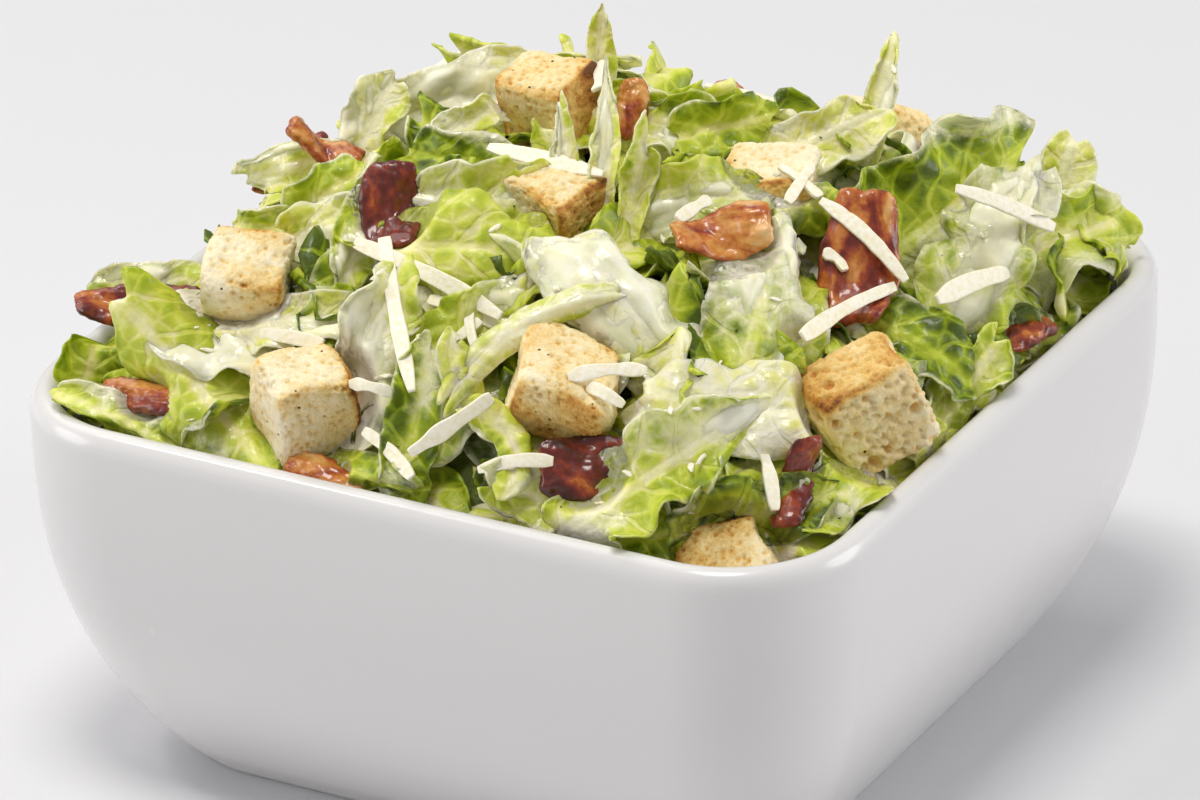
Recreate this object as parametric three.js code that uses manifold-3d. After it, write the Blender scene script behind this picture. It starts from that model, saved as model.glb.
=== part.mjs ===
// Caesar salad heaped in a square white porcelain bowl, with croutons and pieces of fried bacon.
// Millimetres, +Z up. The origin is the centre of the bowl's underside, which stands on Z = 0.
import * as THREE from "three";
import { mergeVertices } from "three/addons/utils/BufferGeometryUtils.js";
import Module from "manifold-3d";

const wasm = await Module();
wasm.setup();

// ---- Driving dimensions ----
const BOWL = {
  half: 75, // half of the outer width, at the widest
  height: 68,
  corner: 23.5, // outer corner radius in plan, at the rim
  footHalf: 56, // half of the foot's width
  footCorner: 18,
  wall: 5,
  floor: 6,
  flare: 2.7, // how quickly the side turns upright above the foot
  lipRise: 3.6, // height of the rounded lip
  lipOuter: 2.8, // how far the lip's crest lies inside the outer face
  footRing: 7, // width of the foot ring
  footRecess: 1.5, // depth of the hollow inside the foot ring, and the run of its slope
  footEdge: 1.2, // width of the chamfer round the foot
  footEdgeRise: 0.8,
  floorRound: 12, // radius where the inner face meets the floor
};
const HEAP = {
  rise: 29, // the mound's top, above the rim
  edge: -3, // the mound at the wall, from the rim
  fall: 2.4, // how the mound falls away: 2 is a parabola, more is flatter on top
  squareness: 5, // 2 is a round mound, more is a square one
  relief: 1.7, // unevenness of the mound's surface
};
const GAP = 0.35; // clearance between touching pieces
const ARC_STEPS = 5; // steps round each corner of an outline

const COLOURS = {
  porcelain: { color: 0xf1f0ee, roughness: 0.22, metalness: 0 },
  lettuce: { color: 0xb9cf78, roughness: 0.45, metalness: 0 },
  toast: { color: 0xd9a959, roughness: 0.85, metalness: 0 },
  bacon: { color: 0x8f3a22, roughness: 0.4, metalness: 0 },
};

const radians = THREE.MathUtils.degToRad;

// ---- Small shared tools ----

// A number from -1 to 1 that varies smoothly over space, different for each seed.
function wander(x, y, z, seed) {
  const a = Math.sin(x * 1.7 + y * 0.9 + seed * 4.1) * Math.cos(y * 1.3 - z * 1.1 + seed * 2.3);
  const b = Math.sin(z * 1.9 - x * 0.7 + seed * 5.7) * Math.cos(x * 0.8 + z * 0.6 - seed);
  return 0.55 * a + 0.45 * b;
}

// The outline of a square with rounded corners, counter-clockwise, as [x, y] pairs, with
// sideSteps steps along each straight side.
function roundedSquare(half, corner, sideSteps) {
  const points = [];
  const radius = Math.min(corner, half * 0.98);
  const inner = half - radius;
  for (let quarter = 0; quarter < 4; quarter++) {
    const start = (quarter * Math.PI) / 2;
    const centre = new THREE.Vector2(inner, inner).rotateAround(new THREE.Vector2(), start);
    for (let step = 0; step <= ARC_STEPS; step++) {
      const angle = start + ((Math.PI / 2) * step) / ARC_STEPS;
      points.push([centre.x + radius * Math.cos(angle), centre.y + radius * Math.sin(angle)]);
    }
    const from = points[points.length - 1];
    const turn = start + Math.PI / 2;
    const length = 2 * inner;
    for (let step = 1; step < sideSteps; step++) {
      const along = (length * step) / sideSteps;
      points.push([from[0] - along * Math.sin(turn), from[1] + along * Math.cos(turn)]);
    }
  }
  return points;
}

// A closed skin through rings of [x, y, z] points, with a pole point at each end.
function skin(firstPole, rings, lastPole) {
  const count = rings[0].length;
  const positions = [firstPole, ...rings.flat(), lastPole];
  const triangles = [];
  for (let i = 0; i < count; i++) {
    const next = (i + 1) % count;
    triangles.push(0, 1 + next, 1 + i);
    for (let ring = 0; ring < rings.length - 1; ring++) {
      const low = 1 + ring * count;
      const high = low + count;
      triangles.push(low + i, low + next, high + next, low + i, high + next, high + i);
    }
    const top = 1 + (rings.length - 1) * count;
    triangles.push(top + i, top + next, positions.length - 1);
  }
  const geometry = new THREE.BufferGeometry();
  geometry.setAttribute("position", new THREE.Float32BufferAttribute(positions.flat(), 3));
  geometry.setIndex(triangles);
  return geometry;
}

// A closed slab: middle(u, v) is a point of its middle surface, for u and v from 0 to 1, and
// thickness(u, v) is what it measures there, along the middle surface's own normal.
function slab(uSteps, vSteps, middle, thickness) {
  const step = 1e-3;
  const positions = [];
  const row = vSteps + 1;
  const layer = (uSteps + 1) * row;
  for (const side of [1, -1]) {
    for (let i = 0; i <= uSteps; i++) {
      for (let j = 0; j <= vSteps; j++) {
        const [u, v] = [i / uSteps, j / vSteps];
        const alongU = middle(u + step, v).sub(middle(u - step, v));
        const alongV = middle(u, v + step).sub(middle(u, v - step));
        const normal = alongU.cross(alongV).normalize();
        positions.push(...middle(u, v).addScaledVector(normal, (side * thickness(u, v)) / 2));
      }
    }
  }
  const triangles = [];
  const quad = (a, b, c, d) => triangles.push(a, b, c, a, c, d);
  for (let i = 0; i < uSteps; i++) {
    for (let j = 0; j < vSteps; j++) {
      const a = i * row + j;
      quad(a, a + row, a + row + 1, a + 1);
      quad(layer + a, layer + a + 1, layer + a + row + 1, layer + a + row);
    }
  }
  for (let i = 0; i < uSteps; i++) {
    const near = i * row;
    const far = i * row + vSteps;
    quad(near, layer + near, layer + near + row, near + row);
    quad(far, far + row, layer + far + row, layer + far);
  }
  for (let j = 0; j < vSteps; j++) {
    const last = uSteps * row + j;
    quad(j, j + 1, layer + j + 1, layer + j);
    quad(last, layer + last, layer + last + 1, last + 1);
  }
  const geometry = new THREE.BufferGeometry();
  geometry.setAttribute("position", new THREE.Float32BufferAttribute(positions, 3));
  geometry.setIndex(triangles);
  return geometry;
}

// Turns a piece about its own upright by spin, leans its top by lean towards the direction
// leanTo, all in degrees, and sets its centre at a point.
function place(geometry, { at, turn: [spin, lean, leanTo] }) {
  const tilt = radians(leanTo);
  const axis = new THREE.Vector3(-Math.sin(tilt), Math.cos(tilt), 0);
  const upright = new THREE.Vector3(0, 0, 1);
  const leaned = new THREE.Quaternion().setFromAxisAngle(axis, radians(lean));
  const spun = new THREE.Quaternion().setFromAxisAngle(upright, radians(spin));
  return geometry.applyQuaternion(leaned.multiply(spun)).translate(...at);
}

function solid(geometry) {
  const bare = geometry.index ? geometry.toNonIndexed() : geometry.clone();
  bare.deleteAttribute("normal");
  bare.deleteAttribute("uv");
  const merged = mergeVertices(bare, 1e-3);
  const vertProperties = new Float32Array(merged.attributes.position.array);
  const triVerts = new Uint32Array(merged.index.array);
  return new wasm.Manifold(new wasm.Mesh({ numProp: 3, vertProperties, triVerts }));
}

function geometryOf(manifold) {
  const mesh = manifold.getMesh();
  const geometry = new THREE.BufferGeometry();
  geometry.setAttribute("position", new THREE.BufferAttribute(mesh.vertProperties, 3));
  geometry.setIndex(new THREE.BufferAttribute(mesh.triVerts, 1));
  return geometry;
}

const part = new THREE.Group();

function add(name, geometry, finish) {
  const mesh = new THREE.Mesh(geometry, new THREE.MeshStandardMaterial(finish));
  mesh.name = name;
  part.add(mesh);
}

// ---- The bowl ----

// Half width and corner radius of the bowl's outer face at height z.
function outerAt(z) {
  const share = THREE.MathUtils.clamp(z / (BOWL.height - BOWL.lipRise), 0, 1);
  const out = 1 - (1 - share) ** BOWL.flare;
  return {
    half: THREE.MathUtils.lerp(BOWL.footHalf, BOWL.half, out),
    corner: THREE.MathUtils.lerp(BOWL.footCorner, BOWL.corner, out),
  };
}

// The inner face lies one wall inside the outer face, and rounds into the floor.
function innerAt(z) {
  const { half, corner } = outerAt(z);
  const rise = THREE.MathUtils.clamp((z - BOWL.floor) / BOWL.floorRound, 0, 1);
  const roundIn = BOWL.floorRound * (1 - Math.sqrt(1 - (1 - rise) ** 2));
  return { half: half - BOWL.wall - roundIn, corner: corner - BOWL.wall };
}

// The bowl, with every face moved outwards by grow.
function bowlGeometry(grow = 0) {
  const profile = [];
  const ring = (half, corner, z) => profile.push({ half, corner, z });
  const base = outerAt(0);
  const hollow = BOWL.footHalf - BOWL.footRing;
  const hollowCorner = BOWL.footCorner - BOWL.footRing;
  ring(hollow - BOWL.footRecess, hollowCorner, BOWL.footRecess - grow);
  ring(hollow, hollowCorner, -grow);
  ring(base.half - BOWL.footEdge, base.corner - BOWL.footEdge, -grow);
  const sideTop = BOWL.height - BOWL.lipRise;
  const levels = 8;
  for (let i = 0; i <= levels; i++) {
    const z = THREE.MathUtils.lerp(BOWL.footEdgeRise, sideTop, i / levels);
    const side = outerAt(z);
    ring(side.half + grow, side.corner + grow, z);
  }
  // The lip: a quarter ellipse up from the outer face, and another down to the inner face.
  const lipInner = BOWL.wall - BOWL.lipOuter;
  const crest = BOWL.half - BOWL.lipOuter;
  for (const degrees of [35, 65, 90, 120, 150]) {
    const angle = radians(degrees);
    const reach = Math.cos(angle) > 0 ? BOWL.lipOuter + grow : lipInner + grow;
    const half = crest + reach * Math.cos(angle);
    ring(half, BOWL.corner - (BOWL.half - half), sideTop + (BOWL.lipRise + grow) * Math.sin(angle));
  }
  for (const share of [1, 0.78, 0.56, 0.36, 0.19, 0.11, 0.05, 0.015, 0.001]) {
    const side = innerAt(THREE.MathUtils.lerp(BOWL.floor, sideTop, share));
    const z = THREE.MathUtils.lerp(BOWL.floor + grow, sideTop, share);
    ring(side.half - grow, side.corner - grow, z);
  }
  const rings = profile.map(({ half, corner, z }) =>
    roundedSquare(half, Math.max(corner, 4), 1).map(([x, y]) => [x, y, z]),
  );
  return skin([0, 0, BOWL.footRecess - grow], rings, [0, 0, BOWL.floor + grow]);
}

// ---- The heap of leaves ----

// Height of the mound's surface over the point x, y.
function moundTop(x, y) {
  const reach = BOWL.half - BOWL.wall;
  const power = HEAP.squareness;
  const out = (Math.abs(x / reach) ** power + Math.abs(y / reach) ** power) ** (1 / power);
  const fallen = Math.min(out, 1) ** HEAP.fall;
  return BOWL.height + HEAP.rise - (HEAP.rise - HEAP.edge) * fallen;
}

function moundGeometry() {
  const rings = [];
  const clear = 2 * GAP;
  const sideSteps = 3;
  const wallTop = BOWL.height + HEAP.edge;
  for (const share of [0, 0.05, 0.22, 0.58]) {
    const z = THREE.MathUtils.lerp(BOWL.floor + clear, wallTop, share);
    const side = innerAt(z - clear);
    const corner = Math.max(side.corner - clear, 4);
    const outline = roundedSquare(side.half - clear, corner, sideSteps);
    rings.push(outline.map(([x, y]) => [x, y, z]));
  }
  const edge = innerAt(wallTop);
  for (const share of [1, 0.9, 0.77, 0.62, 0.46, 0.3, 0.14]) {
    const half = (edge.half - clear) * share;
    const outline = roundedSquare(half, (edge.corner - clear) * share, sideSteps);
    const relief = share < 1 ? HEAP.relief : 0;
    rings.push(
      outline.map(([x, y]) => [x, y, moundTop(x, y) + relief * wander(x / 9, y / 9, 0, 3)]),
    );
  }
  return skin([0, 0, BOWL.floor + clear], rings, [0, 0, moundTop(0, 0)]);
}

// A torn piece of leaf, length along X and width along Y. curl bends its length upwards and
// fold bends its sides up about the rib, both in degrees. ruffle is the waviness of its edge.
function leafGeometry({ length, width, curl, fold, seed }) {
  const thickness = 1.3;
  const ruffle = 1.6;
  const bend = radians(curl);
  const middle = (u, v) => {
    const side = 2 * v - 1;
    const taper = 0.55 + 0.45 * Math.sin(Math.PI * (0.12 + 0.8 * u));
    const half = (width / 2) * taper;
    const across = side * half * Math.cos(radians(fold) * Math.abs(side));
    const lift = half * Math.abs(side) * Math.sin(radians(fold) * Math.abs(side));
    const wave = ruffle * side * side * Math.sin(9 * u + 2.5 * side + seed);
    const angle = bend * (u - 0.5);
    const radius = length / bend;
    const from = radius - lift - wave;
    return new THREE.Vector3(from * Math.sin(angle), across, radius - from * Math.cos(angle));
  };
  return slab(4, 3, middle, () => thickness);
}

// Leaves that stand out of the mound, by the centre of each.
const LEAVES = [
  // The near slope and the corner on the left.
  { at: [-60, -62, 75], length: 23, width: 15, turn: [120, 66, -60], curl: 30, fold: 25 },
  { at: [-46, -60, 73.5], length: 42, width: 20, turn: [-20, 38, -80], curl: 30, fold: 20 },
  { at: [-3, -60, 78], length: 34, width: 18, turn: [80, 42, -85], curl: -25, fold: 24 },
  { at: [14, -36, 93], length: 46, width: 18, turn: [55, 30, -60], curl: -45, fold: 24 },
  { at: [39, -53, 79], length: 38, width: 20, turn: [25, 46, -70], curl: 30, fold: 20 },
  { at: [45, -30, 88], length: 42, width: 18, turn: [35, 42, -55], curl: -25, fold: 20 },
  // The top.
  { at: [-24, -22, 96], length: 40, width: 24, turn: [20, 30, -70], curl: -35, fold: 22 },
  { at: [-37, 6, 96], length: 30, width: 18, turn: [25, 38, -65], curl: 25, fold: 20 },
  { at: [12, 20, 96], length: 34, width: 18, turn: [15, 40, -70], curl: 30, fold: 24 },
  { at: [-8, 18, 100], length: 22, width: 7, turn: [112, 84, -68], curl: 10, fold: 15 },
  { at: [32, 38, 91], length: 30, width: 8, turn: [112, 76, -68], curl: -15, fold: 15 },
  // The corner on the right.
  { at: [47, 20, 89], length: 46, width: 28, turn: [22, 40, -60], curl: 25, fold: 18 },
  { at: [57.5, 46.5, 79], length: 34, width: 20, turn: [40, 52, -50], curl: 25, fold: 22 },
  { at: [60.5, 57, 75], length: 25, width: 20, turn: [-40, 30, 50], curl: 35, fold: 22 },
  { at: [64, -2, 73], length: 34, width: 18, turn: [88, 38, -5], curl: -25, fold: 20 },
  // The far side and the edge on the left.
  { at: [-57, 2, 83], length: 32, width: 18, turn: [70, 50, 165], curl: -30, fold: 22 },
  { at: [-60, 34, 76], length: 36, width: 24, turn: [85, 44, 178], curl: 30, fold: 20 },
  { at: [-38, 56, 78], length: 40, width: 24, turn: [15, 42, 110], curl: 35, fold: 20 },
  { at: [-22, 36, 92], length: 38, width: 26, turn: [-30, 26, 120], curl: -35, fold: 22 },
  { at: [8, 60, 77], length: 38, width: 24, turn: [-8, 46, 88], curl: 35, fold: 18 },
  { at: [40, 59, 77], length: 34, width: 22, turn: [-20, 48, 75], curl: 25, fold: 20 },
];

function leafSolid(leaf, index) {
  return solid(place(leafGeometry({ seed: index, ...leaf }), leaf));
}

// ---- Croutons ----

// A cube of toast with worn edges and slightly uneven faces.
function croutonGeometry({ size, seed }, grow = 0) {
  const [length, width, height] = size.map((side) => side + 2 * grow);
  const geometry = new THREE.BoxGeometry(1, 1, 1, 3, 3, 3);
  const positions = geometry.attributes.position;
  const corner = new THREE.Vector3();
  for (let i = 0; i < positions.count; i++) {
    corner.fromBufferAttribute(positions, i);
    const edge = corner.toArray().map((value) => Math.abs(2 * value) ** 6);
    const worn = 1 / Math.max(1, (edge[0] + edge[1] + edge[2]) ** (1 / 6));
    corner.multiplyScalar(worn);
    const uneven = 1 + 0.035 * wander(corner.x * 5, corner.y * 5, corner.z * 5, seed);
    corner.multiplyScalar(uneven).multiply(new THREE.Vector3(length, width, height));
    positions.setXYZ(i, corner.x, corner.y, corner.z);
  }
  return geometry;
}

const CROUTONS = [
  { name: "crouton_left", at: [-40.1, -45.4, 86.6], size: [12.5, 12.5, 11], turn: [22, 26, -50] },
  { name: "crouton_front_left", at: [-20.2, -61.5, 75], size: [12.5, 12.5, 15.5], turn: [-42, 14, -75] },
  { name: "crouton_middle", at: [22.3, -52.8, 83.6], size: [15, 14.5, 12], turn: [20, 30, -15] },
  { name: "crouton_right", at: [61.6, -23.6, 75.5], size: [12, 15.5, 16], turn: [-42, 24, -128] },
  { name: "crouton_corner", at: [55.5, -59, 63.5], size: [13, 12, 12], turn: [35, 30, -90] },
  { name: "crouton_top", at: [-12.6, 7.7, 100.4], size: [13, 12, 14], turn: [-2, 8, -100] },
  { name: "crouton_upper", at: [2.5, -18.2, 97.3], size: [12.5, 12, 9], turn: [-15, 12, -60] },
  { name: "crouton_upper_right", at: [28.4, 7.4, 95.2], size: [14, 12, 8], turn: [20, 6, -100] },
  { name: "crouton_far_left", at: [-52, 38, 83], size: [13, 14, 12], turn: [25, 22, 160] },
  { name: "crouton_far", at: [22, 58, 80], size: [14, 13, 13], turn: [-30, 26, 85] },
];

// ---- Bacon ----

// A crinkled fragment of a fried rasher, length along X. bend curls its length and twist
// winds it, both in degrees, and wave is the height of its crinkles.
function baconGeometry(piece, grow = 0) {
  const { length, width, thick = 2.4, bend = 40, twist = 25, wave = 1, seed } = piece;
  const [long, wide] = [length + 2 * grow, width + 2 * grow];
  const curl = radians(bend);
  const middle = (u, v) => {
    const side = 2 * v - 1;
    const ragged = 0.84 + 0.16 * wander(u * 5, side, 0, seed);
    const along = THREE.MathUtils.clamp(0.05 + 0.9 * u, 0, 1);
    const ends = 0.62 + 0.38 * Math.sqrt(Math.sin(Math.PI * along));
    const across = (side * wide * ragged * ends) / 2;
    const angle = curl * (u - 0.5);
    const radius = long / curl;
    const wind = radians(twist) * (u - 0.5);
    const crinkle = wave * Math.sin(2.2 * Math.PI * u + 1.4 * side + seed);
    const y = across * Math.cos(wind) - crinkle * Math.sin(wind);
    const up = across * Math.sin(wind) + crinkle * Math.cos(wind);
    const from = radius - up;
    return new THREE.Vector3(from * Math.sin(angle), y, radius - from * Math.cos(angle));
  };
  const thickness = (u, v) => {
    const rim = 1 - 0.45 * Math.abs(2 * v - 1) ** 3;
    return thick * rim * (0.9 + 0.2 * wander(u * 4, v * 3, 1, seed)) + 2 * grow;
  };
  return slab(5, 3, middle, thickness);
}

const BACON = [
  { name: "bacon_upper_left", at: [-48.1, -7.2, 92.1], length: 12, width: 6, turn: [10, 30, -20] },
  { name: "bacon_dark", at: [-21, -31.4, 96.2], length: 14, width: 10.5, turn: [118, 42, -62], bend: 55 },
  { name: "bacon_far_left", at: [-61.5, -45, 76.5], length: 18, width: 7, turn: [25, 40, -70], thick: 1.8 },
  { name: "bacon_left", at: [-48.9, -63.2, 70.5], length: 15, width: 6, turn: [0, 38, -95] },
  {
    name: "bacon_front_left", at: [-12.5, -68, 67.2],
    length: 12.5, width: 5.5, turn: [0, 30, -80], bend: 20, thick: 2,
  },
  { name: "bacon_middle", at: [31, -61, 75], length: 13.5, width: 11, turn: [30, 60, -62], bend: 45 },
  {
    name: "bacon_front", at: [61, -47.5, 72.2],
    length: 14.5, width: 5.6, turn: [105, 45, -60], bend: 70, twist: 60,
  },
  { name: "bacon_pale", at: [32, -17.4, 97.2], length: 14, width: 9, turn: [38, 34, -60], wave: 1.4 },
  {
    name: "bacon_right", at: [48.5, -1.2, 88.8],
    length: 20.5, width: 13.5, turn: [112, 46, -58], bend: 60, thick: 2.8,
  },
  { name: "bacon_rim", at: [67, 21.6, 69.4], length: 12, width: 4.6, turn: [75, 18, 0], bend: 30 },
  { name: "bacon_top", at: [1.5, 10, 102.2], length: 8, width: 5.4, turn: [110, 62, -60], bend: 45 },
  { name: "bacon_back", at: [44, 48, 84], length: 16, width: 9, turn: [30, 30, 60] },
  { name: "bacon_back_left", at: [-14, 60, 80], length: 17, width: 9, turn: [160, 34, 110] },
  { name: "bacon_left_edge", at: [-62, 6, 80], length: 15, width: 8, turn: [80, 42, 178] },
];

// ---- Assembly ----

const bowl = solid(bowlGeometry());
const croutons = CROUTONS.map((crouton, index) => {
  const seed = index + 1;
  const body = place(croutonGeometry({ ...crouton, seed }), crouton);
  const room = solid(place(croutonGeometry({ ...crouton, seed }, GAP), crouton));
  return { name: crouton.name, body, room };
});
const rashers = BACON.map((piece, index) => {
  const seed = index + 1;
  const body = place(baconGeometry({ ...piece, seed }), piece);
  const room = solid(place(baconGeometry({ ...piece, seed }, GAP), piece));
  return { name: piece.name, body, room };
});

const bowlRoom = solid(bowlGeometry(GAP));
let heap = solid(moundGeometry());
for (const leaf of LEAVES.map(leafSolid)) heap = heap.add(leaf.subtract(bowlRoom));
for (const { room } of [...croutons, ...rashers]) heap = heap.subtract(room);
const lumps = heap.decompose().sort((a, b) => b.volume() - a.volume());

add("bowl", geometryOf(bowl), COLOURS.porcelain);
add("salad", geometryOf(lumps[0]), COLOURS.lettuce);
for (const { name, body } of croutons) add(name, body, COLOURS.toast);
for (const { name, body } of rashers) add(name, body, COLOURS.bacon);

export default part;
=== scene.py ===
"""A caesar salad heaped in a square white porcelain bowl: torn romaine leaves in a creamy dressing,
with croutons, fried bacon and shredded hard cheese.

The tables give lengths in millimetres and angles in degrees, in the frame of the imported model:
+Z is up, and the bowl's underside stands on Z = 0.
"""
from dataclasses import dataclass
from functools import partial
from math import asin, atan2, cos, degrees, hypot, pi, radians, sin, sqrt

import bmesh
import bpy
import numpy as np
from mathutils import Matrix, Vector
from mathutils.bvhtree import BVHTree


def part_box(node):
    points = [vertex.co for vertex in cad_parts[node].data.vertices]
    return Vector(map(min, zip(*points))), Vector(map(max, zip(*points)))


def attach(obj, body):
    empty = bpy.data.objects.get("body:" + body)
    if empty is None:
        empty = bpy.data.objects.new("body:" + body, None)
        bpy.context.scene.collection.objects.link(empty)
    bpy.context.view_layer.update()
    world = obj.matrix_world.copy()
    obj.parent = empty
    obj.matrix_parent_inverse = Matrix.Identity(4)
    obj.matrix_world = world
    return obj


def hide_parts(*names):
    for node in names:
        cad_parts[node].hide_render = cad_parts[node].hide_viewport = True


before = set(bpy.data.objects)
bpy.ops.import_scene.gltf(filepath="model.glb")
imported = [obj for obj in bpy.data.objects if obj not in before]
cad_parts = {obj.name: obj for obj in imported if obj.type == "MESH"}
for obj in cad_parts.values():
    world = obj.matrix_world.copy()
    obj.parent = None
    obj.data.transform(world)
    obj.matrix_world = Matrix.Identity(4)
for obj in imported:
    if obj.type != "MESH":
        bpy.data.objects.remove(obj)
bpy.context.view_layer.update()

MM = 0.001
BODY = "root"
SMOOTH = {"interpolation_type": "SMOOTHSTEP"}

# ---- Sizes ----

BOWL_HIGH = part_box("bowl")[1]
HALF = BOWL_HIGH.x / MM  # half of the bowl's outer width
RIM = BOWL_HIGH.z / MM  # height of the bowl's rim
WALL = 5.0
BOTTOM = 6.0
BOTTOM_ROUND = 12.0
RIM_CORNER = 23.5
FOOT_HALF = 56.0
FOOT_CORNER = 18.0
FOOT_RING = 7.0
FOOT_RECESS = 1.5
FOOT_EDGE = (1.2, 0.8)  # the width and height of the rounding round the foot
FLARE = 2.7  # how soon the sides turn upright
LIP_RISE = 3.6  # the lip's rounding: its height
LIP_OUTER = 2.8  # and the width of its outer part
FLOOR_REACH = 6000.0  # from the bowl to the edge of the board under it

HEAP_RISE = 29.0  # the heap's middle, above the rim
HEAP_EDGE = -3.0  # the heap at the wall, above the rim
HEAP_FALL = 2.4  # how late the heap falls off towards the wall
HEAP_SQUARENESS = 5.0  # 2 is a round heap, and more is squarer

CAMERA_AZIMUTH = 29.03
CAMERA_ELEVATION = 26.28
CAMERA_ROLL = -1.21
CAMERA_DISTANCE = 1400.0
CAMERA_LENS = 253.0
CAMERA_AIM = (-0.4, -1.4)  # how far right and up of the bowl's middle the camera aims


# ---- Small tools ----

def linear(code):
    """An sRGB hex colour as linear RGBA."""
    channels = [int(code[i:i + 2], 16) / 255 for i in (1, 3, 5)]
    return [c / 12.92 if c <= 0.04045 else ((c + 0.055) / 1.055) ** 2.4 for c in channels] + [1.0]


def in_use(sockets):
    return [socket for socket in sockets if socket.enabled]


def feed(tree, made, inputs):
    """Gives a node its inputs, by place or name among those in use. A socket is linked, a node is
    linked by its first output in use, and anything else is the input's value."""
    for key, value in inputs.items():
        if isinstance(value, bpy.types.Node):
            value = in_use(value.outputs)[0]
        sockets = in_use(made.inputs)
        socket = sockets[key] if isinstance(key, int) else made.inputs[key]
        if isinstance(value, bpy.types.NodeSocket):
            tree.links.new(value, socket)
        else:
            socket.default_value = value


def node(tree, kind, *inputs, **named):
    """Adds a node. Its inputs come in their order or by name, and names in small letters are its
    own settings. The kind of a shader node is given without its first word."""
    made = tree.nodes.new(kind if "Node" in kind else "ShaderNode" + kind)
    for key, value in named.items():
        if key.islower():
            setattr(made, key, value)
    feed(tree, made, dict(enumerate(inputs)))
    feed(tree, made, {key: value for key, value in named.items() if not key.islower()})
    return made


def smoothstep(low, high, x):
    t = np.clip((x - low) / (high - low), 0, 1)
    return t * t * (3 - 2 * t)


def ripple(a, b, seed, octaves=2):
    """Smooth noise from about -1 to 1 over the plane a, b."""
    rng = np.random.default_rng(seed)
    total = 0.0
    for octave in range(octaves):
        for _ in range(3):
            turn, phase = rng.uniform(0, 2 * pi, 2)
            pitch = 2.1 ** octave * rng.uniform(0.7, 1.4)
            along = a * cos(turn) + b * sin(turn)
            total = total + np.sin(pitch * along + phase) / 1.8 ** octave
    return total / 2.2


def heap_top(x, y):
    """Height of the heap's smooth surface over the point x, y."""
    reach = HALF - WALL
    power = HEAP_SQUARENESS
    out = (np.abs(x / reach) ** power + np.abs(y / reach) ** power) ** (1 / power)
    return RIM + HEAP_RISE - (HEAP_RISE - HEAP_EDGE) * np.minimum(out, 1) ** HEAP_FALL


def heap_normal(x, y):
    step = 1.0
    slope_x = (heap_top(x + step, y) - heap_top(x - step, y)) / (2 * step)
    slope_y = (heap_top(x, y + step) - heap_top(x, y - step)) / (2 * step)
    normal = np.array([-slope_x, -slope_y, 1.0])
    return normal / np.linalg.norm(normal)


def unit(vectors):
    return vectors / np.maximum(np.linalg.norm(vectors, axis=-1, keepdims=True), 1e-9)


def put(name, data):
    """A new object in the scene."""
    made = bpy.data.objects.new(name, data)
    bpy.context.scene.collection.objects.link(made)
    return made


def add_piece(name, mesh, material=None):
    """A mesh as a piece, smooth shaded."""
    mesh.shade_smooth()
    if material:
        mesh.materials.append(material)
    return put(name, mesh)


def add_mesh(name, points, faces, material):
    """A piece from points in millimetres and faces."""
    mesh = bpy.data.meshes.new(name)
    mesh.from_pydata((np.asarray(points) * MM).tolist(), [], faces)
    return add_piece(name, mesh, material)


def store(mesh, key, column):
    """Keeps a number or a vector at each of a mesh's points."""
    column = np.asarray(column, np.float32)
    kind, field = ("FLOAT_VECTOR", "vector") if column.ndim == 2 else ("FLOAT", "value")
    mesh.attributes.new(key, kind, "POINT").data.foreach_set(field, column.ravel())


def keep_result(piece, modifier):
    """Makes what a modifier gives the piece's plain mesh."""
    graph = bpy.context.evaluated_depsgraph_get()
    result = bpy.data.meshes.new_from_object(
        piece.evaluated_get(graph), preserve_all_data_layers=True, depsgraph=graph)
    piece.modifiers.remove(modifier)
    plain = piece.data
    piece.data = result
    bpy.data.meshes.remove(plain)
    return piece


def round_off(piece, levels):
    modifier = piece.modifiers.new("rounding", "SUBSURF")
    modifier.levels = modifier.render_levels = levels
    return keep_result(piece, modifier)


def to_mesh(name, shape):
    """A bmesh as a mesh."""
    mesh = bpy.data.meshes.new(name)
    shape.to_mesh(mesh)
    shape.free()
    return mesh


class Batch:
    """Gathers closed shapes, in millimetres, into one mesh with named values at each point."""

    def __init__(self):
        self.points = []
        self.faces = []
        self.values = []
        self.count = 0

    def add(self, points, faces, **values):
        self.points.append(points)
        self.faces += (np.asarray(faces) + self.count).tolist()
        self.values.append(values)
        self.count += len(points)

    def make(self, name, material):
        piece = add_mesh(name, np.concatenate(self.points), self.faces, material)
        for key in self.values[0]:
            store(piece.data, key, np.concatenate([value[key] for value in self.values]))
        return piece


def slab(middle, normals, above, below):
    """The points and quads of a closed sheet round a grid of points."""
    rows, cols = middle.shape[:2]
    upper = middle + normals * above[..., None]
    lower = middle - normals * below[..., None]
    index = np.arange(rows * cols).reshape(rows, cols)
    a, b, c, d = index[:-1, :-1], index[1:, :-1], index[1:, 1:], index[:-1, 1:]
    shift = rows * cols
    edge = np.concatenate([index[:-1, 0], index[-1, :-1], index[:0:-1, -1], index[0, :0:-1]])
    ahead = np.roll(edge, -1)
    quads = [
        np.stack([a, b, c, d], -1).reshape(-1, 4),
        np.stack([a, d, c, b], -1).reshape(-1, 4) + shift,
        np.stack([edge, edge + shift, ahead + shift, ahead], -1)]
    return np.concatenate([upper.reshape(-1, 3), lower.reshape(-1, 3)]), np.concatenate(quads)


def grid_normals(points):
    return unit(np.cross(np.gradient(points, axis=0), np.gradient(points, axis=1)))


def both_sides(values):
    """A grid's values, for the upper and then the lower points of its slab."""
    flat = values.reshape(-1, *values.shape[2:])
    return np.concatenate([flat, flat])


def own(piece, slot, *nodes):
    """The piece rides on the dish and stands for CAD nodes, which it hides; its slot is not used.
    """
    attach(piece, BODY)
    if nodes:
        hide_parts(*nodes)
    return piece


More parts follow.
